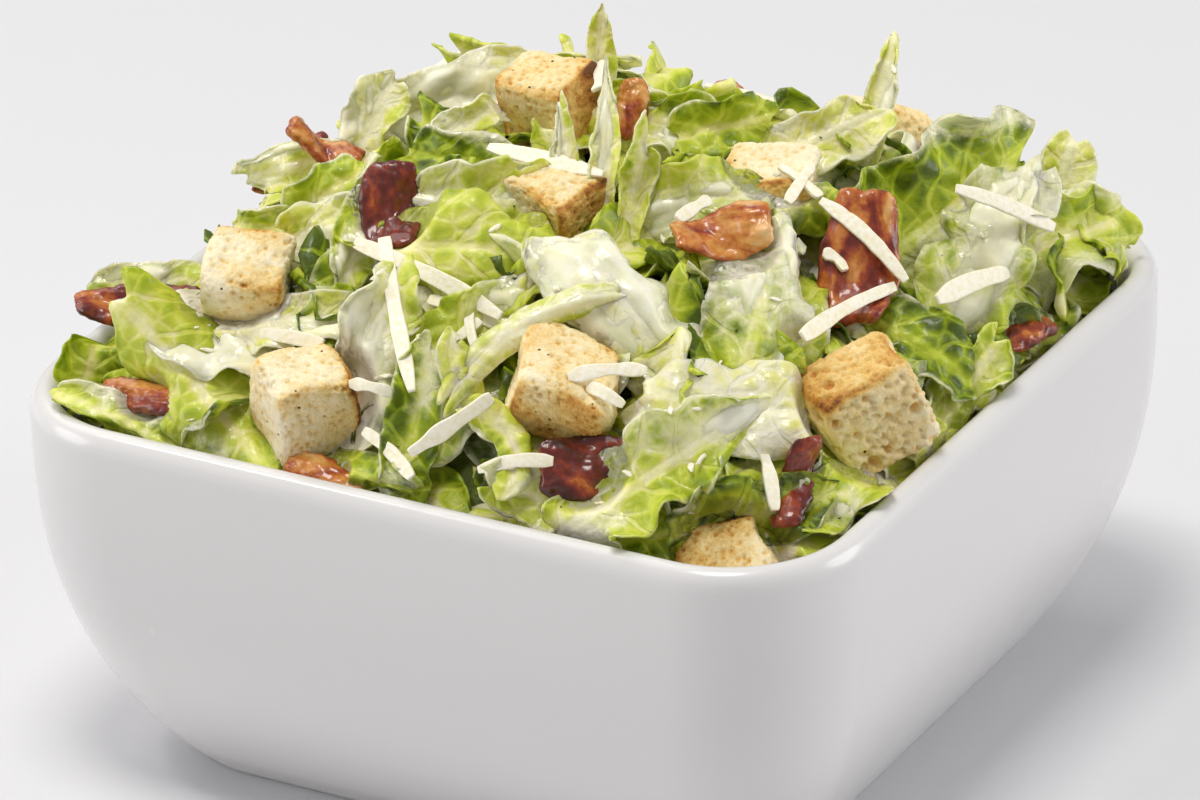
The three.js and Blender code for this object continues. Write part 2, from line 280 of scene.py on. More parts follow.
def nodes_tree(name, *inputs):
    """For a new Geometry Nodes tree with named inputs, given as (name, kind): the function that
    adds its nodes, one that ends it with realised instances and a material and returns it, the
    mesh that comes in, and the inputs."""
    tree = bpy.data.node_groups.new(name, "GeometryNodeTree")
    sockets = (("Geometry", "Geometry"), *inputs, ("Material", "Material"))
    for label, kind in sockets:
        tree.interface.new_socket(label, in_out="INPUT", socket_type="NodeSocket" + kind)
    tree.interface.new_socket("Geometry", in_out="OUTPUT", socket_type="NodeSocketGeometry")
    add = partial(node, tree)
    *given, material = in_use(add("NodeGroupInput").outputs)[:len(sockets)]

    def finish(geometry):
        real = add("GeometryNodeRealizeInstances", geometry)
        add("NodeGroupOutput", add("GeometryNodeSetMaterial", Geometry=real, Material=material))
        return tree

    return add, finish, *given


def push_out(add, geometry, direction, height):
    """Moves a mesh's points along a direction by a height."""
    offset = add("VectorMath", direction, height, operation="SCALE")
    return add("GeometryNodeSetPosition", Geometry=geometry, Offset=offset)


def run_tree(piece, tree, settings):
    """Runs a Geometry Nodes tree on a piece and keeps the result as its plain mesh."""
    modifier = piece.modifiers.new(tree.name, "NODES")
    modifier.node_group = tree
    for item in tree.interface.items_tree:
        if item.in_out == "INPUT" and item.name in settings:
            modifier[item.identifier] = settings[item.name]
    return keep_result(piece, modifier)


# ---- Materials ----

def new_material(name):
    """For a new material, the function that adds its nodes, and one that gives its shader its
    inputs and returns the material."""
    material = bpy.data.materials.new(name)
    material.use_nodes = True
    tree = material.node_tree

    def paint(inputs):
        feed(tree, tree.nodes["Principled BSDF"], inputs)
        return material

    return partial(node, tree), paint


def shape_ramp(ramp_node, stops):
    """Sets a colour ramp's stops from (place, hex colour) pairs."""
    elements = ramp_node.color_ramp.elements
    while len(elements) > 1:
        elements.remove(elements[-1])
    for i, (place, code) in enumerate(stops):
        element = elements[0] if i == 0 else elements.new(place)
        element.position = place
        element.color = linear(code)


def total(add, start, *terms):
    """A start and further terms, each a value and its share, added up."""
    for value, share in terms:
        start = add("Math", value, share, start, operation="MULTIPLY_ADD")
    return start


def porcelain():
    """Porcelain, slip cast and dipped in a clear glaze: white and glassy, with the faint
    unevenness that a fired glaze has over a hand's breadth."""
    add, paint = new_material("porcelain_glazed")
    here = add("TexCoord").outputs["Object"]
    swell = add("TexNoise", Vector=here, Scale=1 / (14 * MM), Detail=2.0)
    rough = add("MapRange", swell, 0.0, 1.0, 0.2, 0.3)
    bump = add("Bump", Height=swell, Strength=0.06, Distance=0.4 * MM)
    return paint({
        "Base Color": linear("#e0dedd"), "IOR": 1.5, "Coat Weight": 0.4, "Coat Roughness": 0.06,
        "Roughness": rough, "Normal": bump})


LEAF_CELL = 3.6  # the width of a blister between two small veins
SIDE_VEIN_SPACING = 7.5
SIDE_VEIN_SLANT = 0.75


def leaf_blisters(add, leaf_mm):
    """Distance to the nearest small vein, from the leaf's own coordinates, in cells."""
    cells = add("VectorMath", leaf_mm, 1 / LEAF_CELL, operation="SCALE")
    return add("TexVoronoi", Vector=cells, Scale=1.0, Randomness=0.85, feature="DISTANCE_TO_EDGE")


def romaine():
    """Romaine lettuce, a living leaf, torn and wet: translucent, pale at the rib and deep green
    at the margin, with a net of pale veins and a film of dressing where it was tossed."""
    add, paint = new_material("romaine_leaf_fresh")
    here = add("Attribute", attribute_name="leaf_mm").outputs["Vector"]
    green, coat = (
        add("Attribute", attribute_name=name).outputs["Fac"] for name in ("green", "coat"))
    parts = add("SeparateXYZ", here)

    # Small veins run between the blisters, and side veins leave the rib at a slant.
    edge = leaf_blisters(add, here)
    small = add("MapRange", edge, 0.0, 0.15, 1.0, 0.0, **SMOOTH)
    across = add("Math", parts.outputs[1], operation="ABSOLUTE")
    wander = add("TexNoise", Vector=here, Scale=0.16, Detail=1.0)
    strayed = total(add, parts, (across, -SIDE_VEIN_SLANT), (wander, 6.0))
    phase = add("Math", strayed, SIDE_VEIN_SPACING / 2, operation="PINGPONG")
    side = add("MapRange", phase, 0.25, 0.75, 1.0, 0.0, **SMOOTH)
    rib = add("MapRange", across, 0.5, 1.5, 1.0, 0.0, **SMOOTH)
    faint = add("Math", small, 0.42, operation="MULTIPLY")
    wide = add("Math", side, rib, operation="MAXIMUM")
    veins = add("Math", faint, wide, operation="MAXIMUM")

    # The blade is greener inside a blister than at its edge, and blotched over a few millimetres.
    blotch = add("TexNoise", Vector=here, Scale=0.22, Detail=3.0, Roughness=0.6)
    shade = total(add, green, (blotch, 0.55), (edge, 0.55), (veins, -0.21), (1.0, -0.34))
    # The ramp's darkest stops also colour the deep filling leaves, whose darker green is painted
    # shade.
    blade = add("ValToRGB", shade)
    shape_ramp(blade, [
        (0.0, "#f6f1c6"), (0.2, "#ebe794"), (0.42, "#cfd850"), (0.66, "#a9b824"), (0.86, "#7c900f"),
        (1.0, "#4d5f06")])

    # Dressing whitens the leaf where it lies, and is thinner over the blisters' tops.
    smear = add("TexNoise", Vector=here, Scale=0.5, Detail=3.0, Roughness=0.65)
    wet = total(add, coat, (smear, 0.7), (edge, -0.35))
    film = add("MapRange", wet, 0.62, 1.1, 0.0, 0.75, **SMOOTH)
    coated = add("Mix", film, blade, linear("#fbf6d8"), data_type="RGBA")
    grain = add("TexNoise", Vector=here, Scale=0.9, Detail=4.0, Roughness=0.65)
    height = total(add, grain, (veins, -0.8))
    bump = add("Bump", Height=height, Strength=0.7, Distance=0.4 * MM)
    rough = add("MapRange", film, 0.0, 1.0, 0.36, 0.22)
    gloss = add("MapRange", film, 0.0, 1.0, 0.2, 0.8)
    return paint({
        "Base Color": coated, "Normal": bump, "Roughness": rough, "IOR": 1.4,
        "Coat Weight": gloss, "Coat Roughness": 0.06, "Subsurface Weight": 0.55,
        "Subsurface Radius": (0.9, 1.0, 0.35), "Subsurface Scale": 1.6 * MM})


def dressing():
    """Caesar dressing, an emulsion of oil, egg and cheese: creamy white and glossy, and thin
    enough at its edges for the leaf to show through."""
    add, paint = new_material("caesar_dressing_whisked")
    depth, green = (
        add("Attribute", attribute_name=name).outputs["Fac"] for name in ("depth", "green"))
    here = add("TexCoord").outputs["Object"]
    cloud = add("TexNoise", Vector=here, Scale=1 / (7 * MM), Detail=3.0)
    tone = add("ValToRGB", cloud)
    shape_ramp(tone, [(0.3, "#f3ecc2"), (0.65, "#fcf7df")])
    fine = add("TexNoise", Vector=here, Scale=1 / (1.6 * MM), Detail=3.0)
    bump = add("Bump", Height=fine, Strength=0.4, Distance=0.35 * MM)
    thin = add("MapRange", depth, 0.28, 0.6, 0.65, 0.0, **SMOOTH)
    leaf = add("Mix", green, linear("#f2eec4"), linear("#9db338"), data_type="RGBA")
    shown = add("Mix", thin, tone, leaf, data_type="RGBA")
    return paint({
        "Base Color": shown, "Normal": bump, "Roughness": 0.2, "IOR": 1.45,
        "Subsurface Weight": 0.5, "Subsurface Radius": (1.0, 0.9, 0.7),
        "Subsurface Scale": 1.2 * MM})


def toast():
    """White bread, cubed and fried: a pale open crumb, painted darker in its pores for the shade in
    them, that browns at its edges and on its crust."""
    add, paint = new_material("bread_toasted")
    here = add("TexCoord").outputs["Object"]
    brown, pit = (
        add("Attribute", attribute_name=name).outputs["Fac"] for name in ("brown", "pit"))
    patch, grain = (
        add("TexNoise", Vector=here, Scale=1 / (width * MM), Detail=detail, Roughness=0.7)
        for width, detail in ((3.2, 5.0), (0.55, 3.0)))
    # The pit term darkens the air holes: painted shade.
    tone = total(add, brown, (patch, 0.9), (grain, 0.5), (pit, 0.3), (1.0, -0.66))
    crumb = add("ValToRGB", tone)
    shape_ramp(crumb, [
        (0.0, "#fdf0cc"), (0.25, "#f8dfa4"), (0.5, "#e8bd68"), (0.72, "#c98a38"), (0.9, "#965c20"),
        (1.0, "#6b421a")])
    # A few specks of dried herb, under a millimetre across.
    specks = add("TexVoronoi", Vector=here, Scale=1 / (3.4 * MM), Randomness=1.0)
    dot = add("MapRange", specks, 0.05, 0.09, 1.0, 0.0)
    speckled = add("Mix", dot, crumb, linear("#4a3a16"), data_type="RGBA")
    bump = add("Bump", Height=grain, Strength=0.8, Distance=0.35 * MM)
    return paint({"Base Color": speckled, "Normal": bump, "Roughness": 0.7})


def bacon():
    """Smoked bacon, sliced and fried: dark red lean with amber streaks of fat, wet with its own
    fat, and dark at its crisp edges."""
    add, paint = new_material("bacon_fried")
    streak = add("Attribute", attribute_name="streak_mm").outputs["Vector"]
    char = add("Attribute", attribute_name="fried").outputs["Fac"]
    here = add("TexCoord").outputs["Object"]
    drawn = add("Mapping", streak, Scale=(0.09, 0.2, 0.16))
    bands = add("TexNoise", Vector=drawn, Scale=1.0, Detail=4.0, Distortion=1.2)
    fine = add("TexNoise", Vector=here, Scale=1 / (1.1 * MM), Detail=3.0)
    tone = total(add, bands, (fine, 0.25), (char, -0.3))
    meat = add("ValToRGB", tone)
    shape_ramp(meat, [
        (0.2, "#37100a"), (0.38, "#6b2013"), (0.5, "#9a3f1c"), (0.6, "#c4742b"), (0.72, "#dca35a"),
        (0.95, "#edcb96")])
    bump = add("Bump", Height=tone, Strength=0.6, Distance=0.5 * MM)
    return paint({
        "Base Color": meat, "Normal": bump, "Roughness": 0.34, "IOR": 1.46, "Coat Weight": 0.5,
        "Coat Roughness": 0.08})


def mottled(name, width, detail, stops, relief, roughness, swirl=0.0):
    """A plain material: one noise, width millimetres across, gives its tones from stops and its
    relief, as a strength and a depth in millimetres."""
    add, paint = new_material(name)
    here = add("TexCoord").outputs["Object"]
    noise = add("TexNoise", Vector=here, Scale=1 / (width * MM), Detail=detail, Distortion=swirl)
    tone = add("ValToRGB", noise)
    shape_ramp(tone, stops)
    bump = add("Bump", Height=noise, Strength=relief[0], Distance=relief[1] * MM)
    return paint({"Base Color": tone, "Normal": bump, "Roughness": roughness})


PORCELAIN = porcelain()
ROMAINE = romaine()
DRESSING = dressing()
TOAST = toast()
BACON = bacon()
# Hard grating cheese, shredded: pale cream, waxy and slightly grainy.
CHEESE = mottled(
    "hard_cheese_shredded", 0.9, 3.0, [(0.3, "#f4ebc6"), (0.6, "#fdf8e6")], (0.5, 0.3), 0.45)
# Dried herbs and cracked pepper: matt flakes, dark green to brown.
HERB = mottled("herb_dried", 9, 1.0, [(0.4, "#39401a"), (0.6, "#3a2a17")], (0.0, 0.1), 0.8)
# Lettuce packed deep in the bowl, cut and damp: painted deep green, for the shade it lies in under
# the leaves.
PACKED_SHADE = mottled(
    "romaine_leaf_packed", 6, 3.0, [(0.3, "#2a3006"), (0.55, "#4f5a0e"), (0.75, "#7d8a2a")],
    (0.7, 1.5), 0.5, swirl=1.0)
# Painted board under the dish: flat, pale and matt.
BOARD = mottled("board_painted", 2, 2.0, [(0.0, "#dcdcdf")], (0.03, 0.1), 0.9)


# ---- The bowl ----

ARC_STEPS = 16
SIDE_STEPS = 5


def rounded_square(half, corner):
    """The outline of a square with rounded corners, counter-clockwise."""
    corner = min(corner, half * 0.98)
    inner = half - corner
    outline = []
    for quarter in range(4):
        start = quarter * pi / 2
        turn = np.array([[cos(start), -sin(start)], [sin(start), cos(start)]])
        angles = np.linspace(0, pi / 2, ARC_STEPS + 1)
        arc = np.stack([inner + corner * np.cos(angles), inner + corner * np.sin(angles)], -1)
        side = np.linspace(inner, -inner, SIDE_STEPS + 1)[1:-1]
        straight = np.stack([side, np.full(SIDE_STEPS - 1, half)], -1)
        outline.append(np.concatenate([arc, straight]) @ turn.T)
    return np.concatenate(outline)


def outer_at(z):
    """Half width and corner radius of the bowl's outer face at height z."""
    out = 1 - (1 - np.clip(z / (RIM - LIP_RISE), 0, 1)) ** FLARE
    return FOOT_HALF + (HALF - FOOT_HALF) * out, FOOT_CORNER + (RIM_CORNER - FOOT_CORNER) * out


def inner_at(z):
    """The same for its inner face, which rounds into the floor."""
    half, corner = outer_at(z)
    rise = np.clip((z - BOTTOM) / BOTTOM_ROUND, 0, 1)
    return half - WALL - BOTTOM_ROUND * (1 - sqrt(1 - (1 - rise) ** 2)), corner - WALL


def loft(rings, first, last):
    """Points and faces of a closed skin through rings, with a pole point at each end."""
    count = len(rings[0])
    points = np.concatenate([[first], *rings, [last]])
    step = np.arange(count)
    ahead = (step + 1) % count
    faces = [[0, 1 + int(b), 1 + int(a)] for a, b in zip(step, ahead)]
    for ring in range(len(rings) - 1):
        low, high = 1 + ring * count, 1 + (ring + 1) * count
        faces += np.stack([low + step, low + ahead, high + ahead, high + step], -1).tolist()
    top = 1 + (len(rings) - 1) * count
    faces += [[top + int(a), top + int(b), len(points) - 1] for a, b in zip(step, ahead)]
    return points, faces


def build_bowl():
    """The bowl's skin, from the middle of its foot out, up, over the lip and down to its floor.
    Each ring of its profile is a half width, a corner radius and a height."""
    hollow = FOOT_HALF - FOOT_RING
    hollow_corner = FOOT_CORNER - FOOT_RING
    edge_wide, edge_high = FOOT_EDGE
    lip = RIM - LIP_RISE
    profile = [(hollow * share, hollow_corner * share, FOOT_RECESS) for share in (0.35, 0.7)]
    for angle in np.linspace(0, pi / 2, 4):
        run = FOOT_RECESS * (1 - sin(angle))
        profile.append((hollow - run, hollow_corner, FOOT_RECESS * cos(angle)))
    for angle in np.linspace(0, pi / 2, 5):
        run = edge_wide * (1 - sin(angle))
        profile.append((FOOT_HALF - run, FOOT_CORNER - run, edge_high * (1 - cos(angle))))
    profile += [(*outer_at(z), z) for z in np.linspace(edge_high, lip, 30)[1:]]
    for angle in np.linspace(0, pi, 19)[1:-1]:
        reach = LIP_OUTER if angle < pi / 2 else WALL - LIP_OUTER
        half = HALF - LIP_OUTER + reach * cos(angle)
        profile.append((half, RIM_CORNER - (HALF - half), lip + LIP_RISE * sin(angle)))
    heights = BOTTOM + (lip - BOTTOM) * (1 - np.linspace(0, 1, 26)) ** 1.6
    profile += [(*inner_at(z), z) for z in heights]
    half, corner = inner_at(BOTTOM)
    profile += [(half * share, corner * share, BOTTOM) for share in (0.8, 0.5, 0.2)]
    rings = []
    for half, corner, z in profile:
        outline = rounded_square(half, max(corner, 4.0 * min(1, half / 20)))
        rings.append(np.column_stack([outline, np.full(len(outline), z)]))
    points, faces = loft(rings, (0, 0, FOOT_RECESS), (0, 0, BOTTOM))
    return own(add_mesh("bowl_glazed", points, faces, PORCELAIN), "porcelain", "bowl")


# ---- The heap's core, under the leaves ----

CORE_DEPTH = 7.0  # how far the core lies under the heap's surface
CORE_GAP = 0.6  # between the core and the bowl's wall
CORE_FOOT = 20  # the height it starts at, out of sight
CORE_UNEVEN = 2.5


def build_core():
    rings = []
    edge_half, edge_corner = inner_at(RIM + HEAP_EDGE)
    for z in (CORE_FOOT, 32, 44, 54, RIM + HEAP_EDGE - CORE_DEPTH):
        half, corner = inner_at(z)
        outline = rounded_square(half - CORE_GAP, corner - CORE_GAP)
        rings.append(np.column_stack([outline, np.full(len(outline), z)]))
    for share in np.linspace(0.98, 0.03, 26):
        x, y = rounded_square((edge_half - CORE_GAP) * share, (edge_corner - CORE_GAP) * share).T
        z = heap_top(x, y) - CORE_DEPTH + CORE_UNEVEN * ripple(x / 7, y / 7, 5, 3)
        rings.append(np.column_stack([x, y, z]))
    points, faces = loft(rings, (0, 0, CORE_FOOT), (0, 0, heap_top(0, 0) - CORE_DEPTH))
    # The core's deep green is painted shade.
    return own(add_mesh("salad_core", points, faces, PACKED_SHADE), "lettuce", "salad")


# ---- Romaine leaves ----

LEAF_THICK = 0.5
RIB_THICK = 1.1
RIB_WIDE = 1.3
FILM_START = -0.05  # the dressing's sheet starts this far above the leaf's middle
FILM_ROOT = 0.12  # and reaches this far below it


@dataclass
class Leaf:
    """A torn piece of romaine. Its rib runs along its length, and its upper side faces a
    direction given as an angle round from +X and an angle up. lie turns its length in its own
    plane from level, counter-clockwise as seen from that side."""

    at: tuple
    face: tuple
    lie: float
    size: tuple
    green: tuple  # at the rib and at the margin, from heart white to outer leaf
    curl: float  # its length's bend towards the upper side
    coat: float  # share under dressing
    ruffle: float = 30  # how steeply its margins wave
    fold: float = 25  # how much its sides turn up
    tips: float = 0.1  # how ragged its torn ends are
    bow: float = 0  # its length's bend sideways
    twist: float = 0
    over: bool = False  # lies over a topping, not under it


def leaf_turn(leaf):
    """The directions of a leaf's length, width and upper side, as columns."""
    turn, up, lie = (radians(angle) for angle in (*leaf.face, leaf.lie))
    normal = np.array([cos(up) * cos(turn), cos(up) * sin(turn), sin(up)])
    level = np.array([-sin(turn), cos(turn), 0.0])
    length = cos(lie) * level + sin(lie) * np.cross(normal, level)
    return np.stack([length, np.cross(normal, length), normal], -1)


def leaf_surface(leaf, rows, cols, seed):
    """A leaf's middle surface as a grid of points, its normals, and its own coordinates."""
    rng = np.random.default_rng(seed)
    long, wide = leaf.size
    u = np.linspace(0, 1, rows)[:, None] * np.ones((1, cols))
    v = np.linspace(-1, 1, cols)[None, :] * np.ones((rows, 1))
    side = np.where(v < 0, -1.0, 1.0)
    phases = rng.uniform(0, 2 * pi, 2)
    pitch = rng.uniform(9, 13)

    # The outline: a torn sheet with rounded corners, each margin and end uneven in its own way.
    belly = (1 - np.abs(1.96 * u - 0.98) ** 3) ** (1 / 3)
    margin = 1 + 0.14 * ripple(4 * u + 4 * side, side, seed + 1)
    margin = margin + 0.035 * ripple(18 * u, side, seed + 2)
    half = wide / 2 * belly * margin
    torn = leaf.tips * long * (2 * u - 1) ** 2 * ripple(2.2 * v, side * 0 + 7 * (u > 0.5), seed + 3)
    x = long * (u - 0.5) + torn

    # Across the leaf, the surface turns up with the fold and waves towards each margin.
    out = np.abs(v)
    stray = 1.5 * ripple(3 * u, side, seed + 4)
    wave = np.sin(2 * pi * x / pitch + np.where(v < 0, *phases) + stray)
    steep = radians(leaf.fold) * out
    steep = steep + radians(leaf.ruffle) * out ** 1.6 * wave
    steep = steep + radians(22) * ripple(5 * u, 3 * v, seed + 5)
    arc = half / ((cols - 1) / 2)
    middle = (cols - 1) // 2
    steps = np.stack([np.cos(steep) * arc, np.sin(steep) * arc])
    ahead = np.cumsum(steps[..., middle + 1:], 2)
    behind = np.cumsum(steps[..., :middle][..., ::-1], 2)[..., ::-1]
    y, z = np.concatenate([behind * [[[-1.0]], [[1.0]]], np.zeros((2, rows, 1)), ahead], 2)
    z = z + 0.045 * long * ripple(2.6 * u, 1.4 * v, seed + 6)

    # Along the leaf, its middle line curls, bows and twists.
    run = np.linspace(0, 1, rows)
    rise = np.radians(leaf.curl) * (run - 0.5) + radians(10) * ripple(4 * run, 0 * run, seed + 7)
    veer = np.radians(leaf.bow) * (run - 0.5)
    tangent = np.stack([np.cos(rise) * np.cos(veer), np.cos(rise) * np.sin(veer), np.sin(rise)], -1)
    binormal = np.stack([-np.sin(veer), np.cos(veer), 0 * veer], -1)
    normal = np.cross(tangent, binormal)
    wind = np.radians(leaf.twist) * (run - 0.5)
    kept, given = np.cos(wind)[:, None], np.sin(wind)[:, None]
    binormal, normal = kept * binormal + given * normal, kept * normal - given * binormal
    centre = np.cumsum(tangent, 0) * long / (rows - 1)
    points = centre[:, None] + (x - long * (u - 0.5))[..., None] * tangent[:, None]
    points = points + y[..., None] * binormal[:, None] + z[..., None] * normal[:, None]
    points = points - points.mean((0, 1))
    points = points @ leaf_turn(leaf).T + np.array(leaf.at)
    return points, grid_normals(points), u, v, x, v * half


def leaf_values(leaf, u, v, x, across, normals, seed):
    """What the leaf's material and relief read at each point of its grid."""
    out = np.abs(v)
    low, high = leaf.green
    green = low + (high - low) * smoothstep(0, 1, 0.75 * out + 0.45 * u)
    green = green + 0.1 * ripple(4 * u, 3 * v, seed + 8)
    coat = leaf.coat + 0.42 * ripple(3.2 * u, 1.9 * v, seed + 9) + 0.3 * smoothstep(0.8, 1, out)
    places = np.stack([x, across, np.full_like(x, 13.7 * (seed % 97))], -1)
    fields = dict(leaf_mm=places, green=green, coat=coat, lift=normals)
    return {key: both_sides(value) for key, value in fields.items()}


def add_leaf(batch, leaf, seed, rows, cols):
    points, normals, u, v, x, across = leaf_surface(leaf, rows, cols, seed)
    thick = LEAF_THICK * (1 - 0.35 * np.abs(v) ** 3)
    rib = RIB_THICK * np.exp(-(across / RIB_WIDE) ** 2) * (1 - 0.75 * u) * min(1, leaf.size[1] / 14)
    shape = slab(points, normals, thick / 2 + 0.25 * rib, thick / 2 + rib)
    batch.add(*shape, **leaf_values(leaf, u, v, x, across, normals, seed))


def add_film(batch, leaf, seed, rows, cols):
    """The thick of the dressing on a leaf: a sheet inside the leaf that swells out of it."""
    points, normals, u, v, x, across = leaf_surface(leaf, rows, cols, seed)
    coat = leaf.coat + 0.42 * ripple(3.2 * u, 1.9 * v, seed + 9)
    coat = coat + 0.14 * ripple(10 * u, 6 * v, seed + 12)
    inward = np.minimum(1, 6 * (1 - np.abs(v))) * np.minimum(1, 9 * u) * np.minimum(1, 9 * (1 - u))
    lumps = 0.64 + 0.45 * ripple(12 * u, 7 * v, seed + 10)
    above = FILM_START + smoothstep(0.56, 0.8, coat) * inward * lumps
    shape = slab(points, normals, above, np.full_like(above, FILM_ROOT))
    batch.add(*shape, depth=both_sides(above), **leaf_values(leaf, u, v, x, across, normals, seed))


def blister_tree():
    """Puffs a leaf out between its veins and creases it, both sides together, along the value
    lift. Pale leaf is smoother than green."""
    add, finish, mesh, tallest, deepest = nodes_tree(
        "leaf_blisters", ("Height", "Float"), ("Crease", "Float"))
    here = add("GeometryNodeInputNamedAttribute", Name="leaf_mm", data_type="FLOAT_VECTOR")
    lift = add("GeometryNodeInputNamedAttribute", Name="lift", data_type="FLOAT_VECTOR")
    edge = leaf_blisters(add, here)
    puff = add("MapRange", edge, 0.0, 0.38, **SMOOTH)
    zones = add("TexNoise", Vector=here, Scale=0.12, Detail=2.0)
    zone = add("MapRange", zones, 0.38, 0.62, 0.25, 1.0)
    green = add("GeometryNodeInputNamedAttribute", Name="green", data_type="FLOAT")
    crisp = add("MapRange", green, 0.1, 0.7, 0.2, 1.0)
    height = puff
    for share in (zone, crisp, tallest):
        height = add("Math", height, share, operation="MULTIPLY")
    creases = add("TexNoise", Vector=here, Scale=0.26, Detail=4.0, Roughness=0.6)
    crease = add("Math", creases, 0.5, operation="SUBTRACT")
    return finish(push_out(add, mesh, lift, total(add, height, (crease, deepest))))


BLISTERS = blister_tree()
BLISTER_HEIGHT = 0.6
CREASE_HEIGHT = 2.2
FILM_COAT = 0.25  # leaves with more dressing than this carry a film of it
FILM_GRID = (34, 21)  # the film's points along and across its leaf
LEAF_CLEAR = 0.8  # between the leaves and the bowl's wall
LEAF_GIVES = 0.94  # the share by which a leaf gives way to a topping

# The leaves that show most, from the near left corner round the slope and up to the top.
NEAR_LEAVES = [Leaf(*row) for row in (
    ((-63, -57, 73), (-70, 15), 78, (21, 11), (0.5, 0.8), -30, 0.09, 30, 35),
    ((-40, -63, 75), (-72, 38), -44, (38, 18), (0.35, 0.78), 20, 0.14, 29, -35),
    ((-50, -69, 68), (-80, 42), -14, (30, 10), (0.45, 0.85), -30, 0.13, 34),
    ((-39, -55, 81), (-64, 48), -14, (25, 17), (0.0, 0.1), -20, 0.85, 14),
    ((-11, -58, 82), (-66, 34), 74, (35, 13), (0.05, 0.5), -30, 0.5, 41, 25, 0.1, 0, 30),
    ((1, -64, 76), (-62, 30), 78, (27, 10), (0.5, 0.9), 30, 0.19, 31),
    ((-2, -36, 94.5), (-64, 46), -6, (33, 20), (0.34, 0.56), -50, -0.1, 26, -30),
    ((15, -53, 91), (-58, 34), 30, (32, 6), (0.3, 0.55), -40, 0.22, 10, -50, 0.1, -52, 15, True),
    ((9.5, -60, 83.5), (-60, 26), -66, (20, 6), (0.25, 0.45), 30, 0.3, 10, -45, 0.1, 70, 0, True),
    ((18, -65.5, 78), (-60, 26), -66, (19, 6), (0.25, 0.5), 30, 0.3, 10, -45, 0.1, -110, 0, True),
    ((27, -40, 91), (-50, 34), -56, (37, 17), (0.05, 0.42), -70, 0.5, 29, -35),
    ((49, -44, 82), (-62, 44), -6, (32, 17), (0.02, 0.2), 30, 0.2, 17, -20),
    ((43, -63, 77), (-64, 34), 32, (35, 17), (0.15, 0.7), -20, 0.33, 43, 20, 0.16),
    ((18, -58, 71), (-60, 20), 70, (24, 14), (0.85, 1.0), 20, 0.0),
    ((46, -65, 68), (-70, 35), 10, (22, 10), (0.6, 0.9), 30, 0.1),
    ((58, -57, 71), (-55, 40), 14, (26, 13), (0.6, 0.95), -40, 0.13, 36),
    ((43, -26, 91), (-48, 38), 66, (34, 18), (0.5, 0.9), -50, 0.34, 22, -35),
    ((67, -43, 70), (-42, 45), 20, (20, 12), (0.35, 0.62), 30, 0.26),
    ((68, -3, 70), (-30, 50), 34, (24, 12), (0.35, 0.65), 45, 0.19, 53, 25, 0.2),
    ((60, -4, 78), (-50, 45), -40, (22, 14), (0.7, 0.95), -45, 0.09),
    ((68, -18, 68), (-28, 50), -52, (24, 10), (0.2, 0.4), -30, 0.21),
    ((-10, -42, 90), (-62, 40), 80, (24, 13), (0.1, 0.4), -30, 0.41),
    ((3, -48, 87), (-66, 40), 30, (24, 13), (0.5, 0.7), -45, 0.26, 41),
    ((-28, -50, 83), (-66, 50), 0, (26, 12), (0.1, 0.3), -30, 0.51),
    ((-8, -70, 69), (-78, 40), -10, (24, 10), (0.5, 0.8), -30, 0.3),
    ((28, -66, 70), (-70, 30), -16, (24, 11), (0.3, 0.7), 30, 0.26),
    ((-60, -40, 76), (-90, 50), 10, (24, 14), (0.3, 0.6), 30, 0.3),
)]
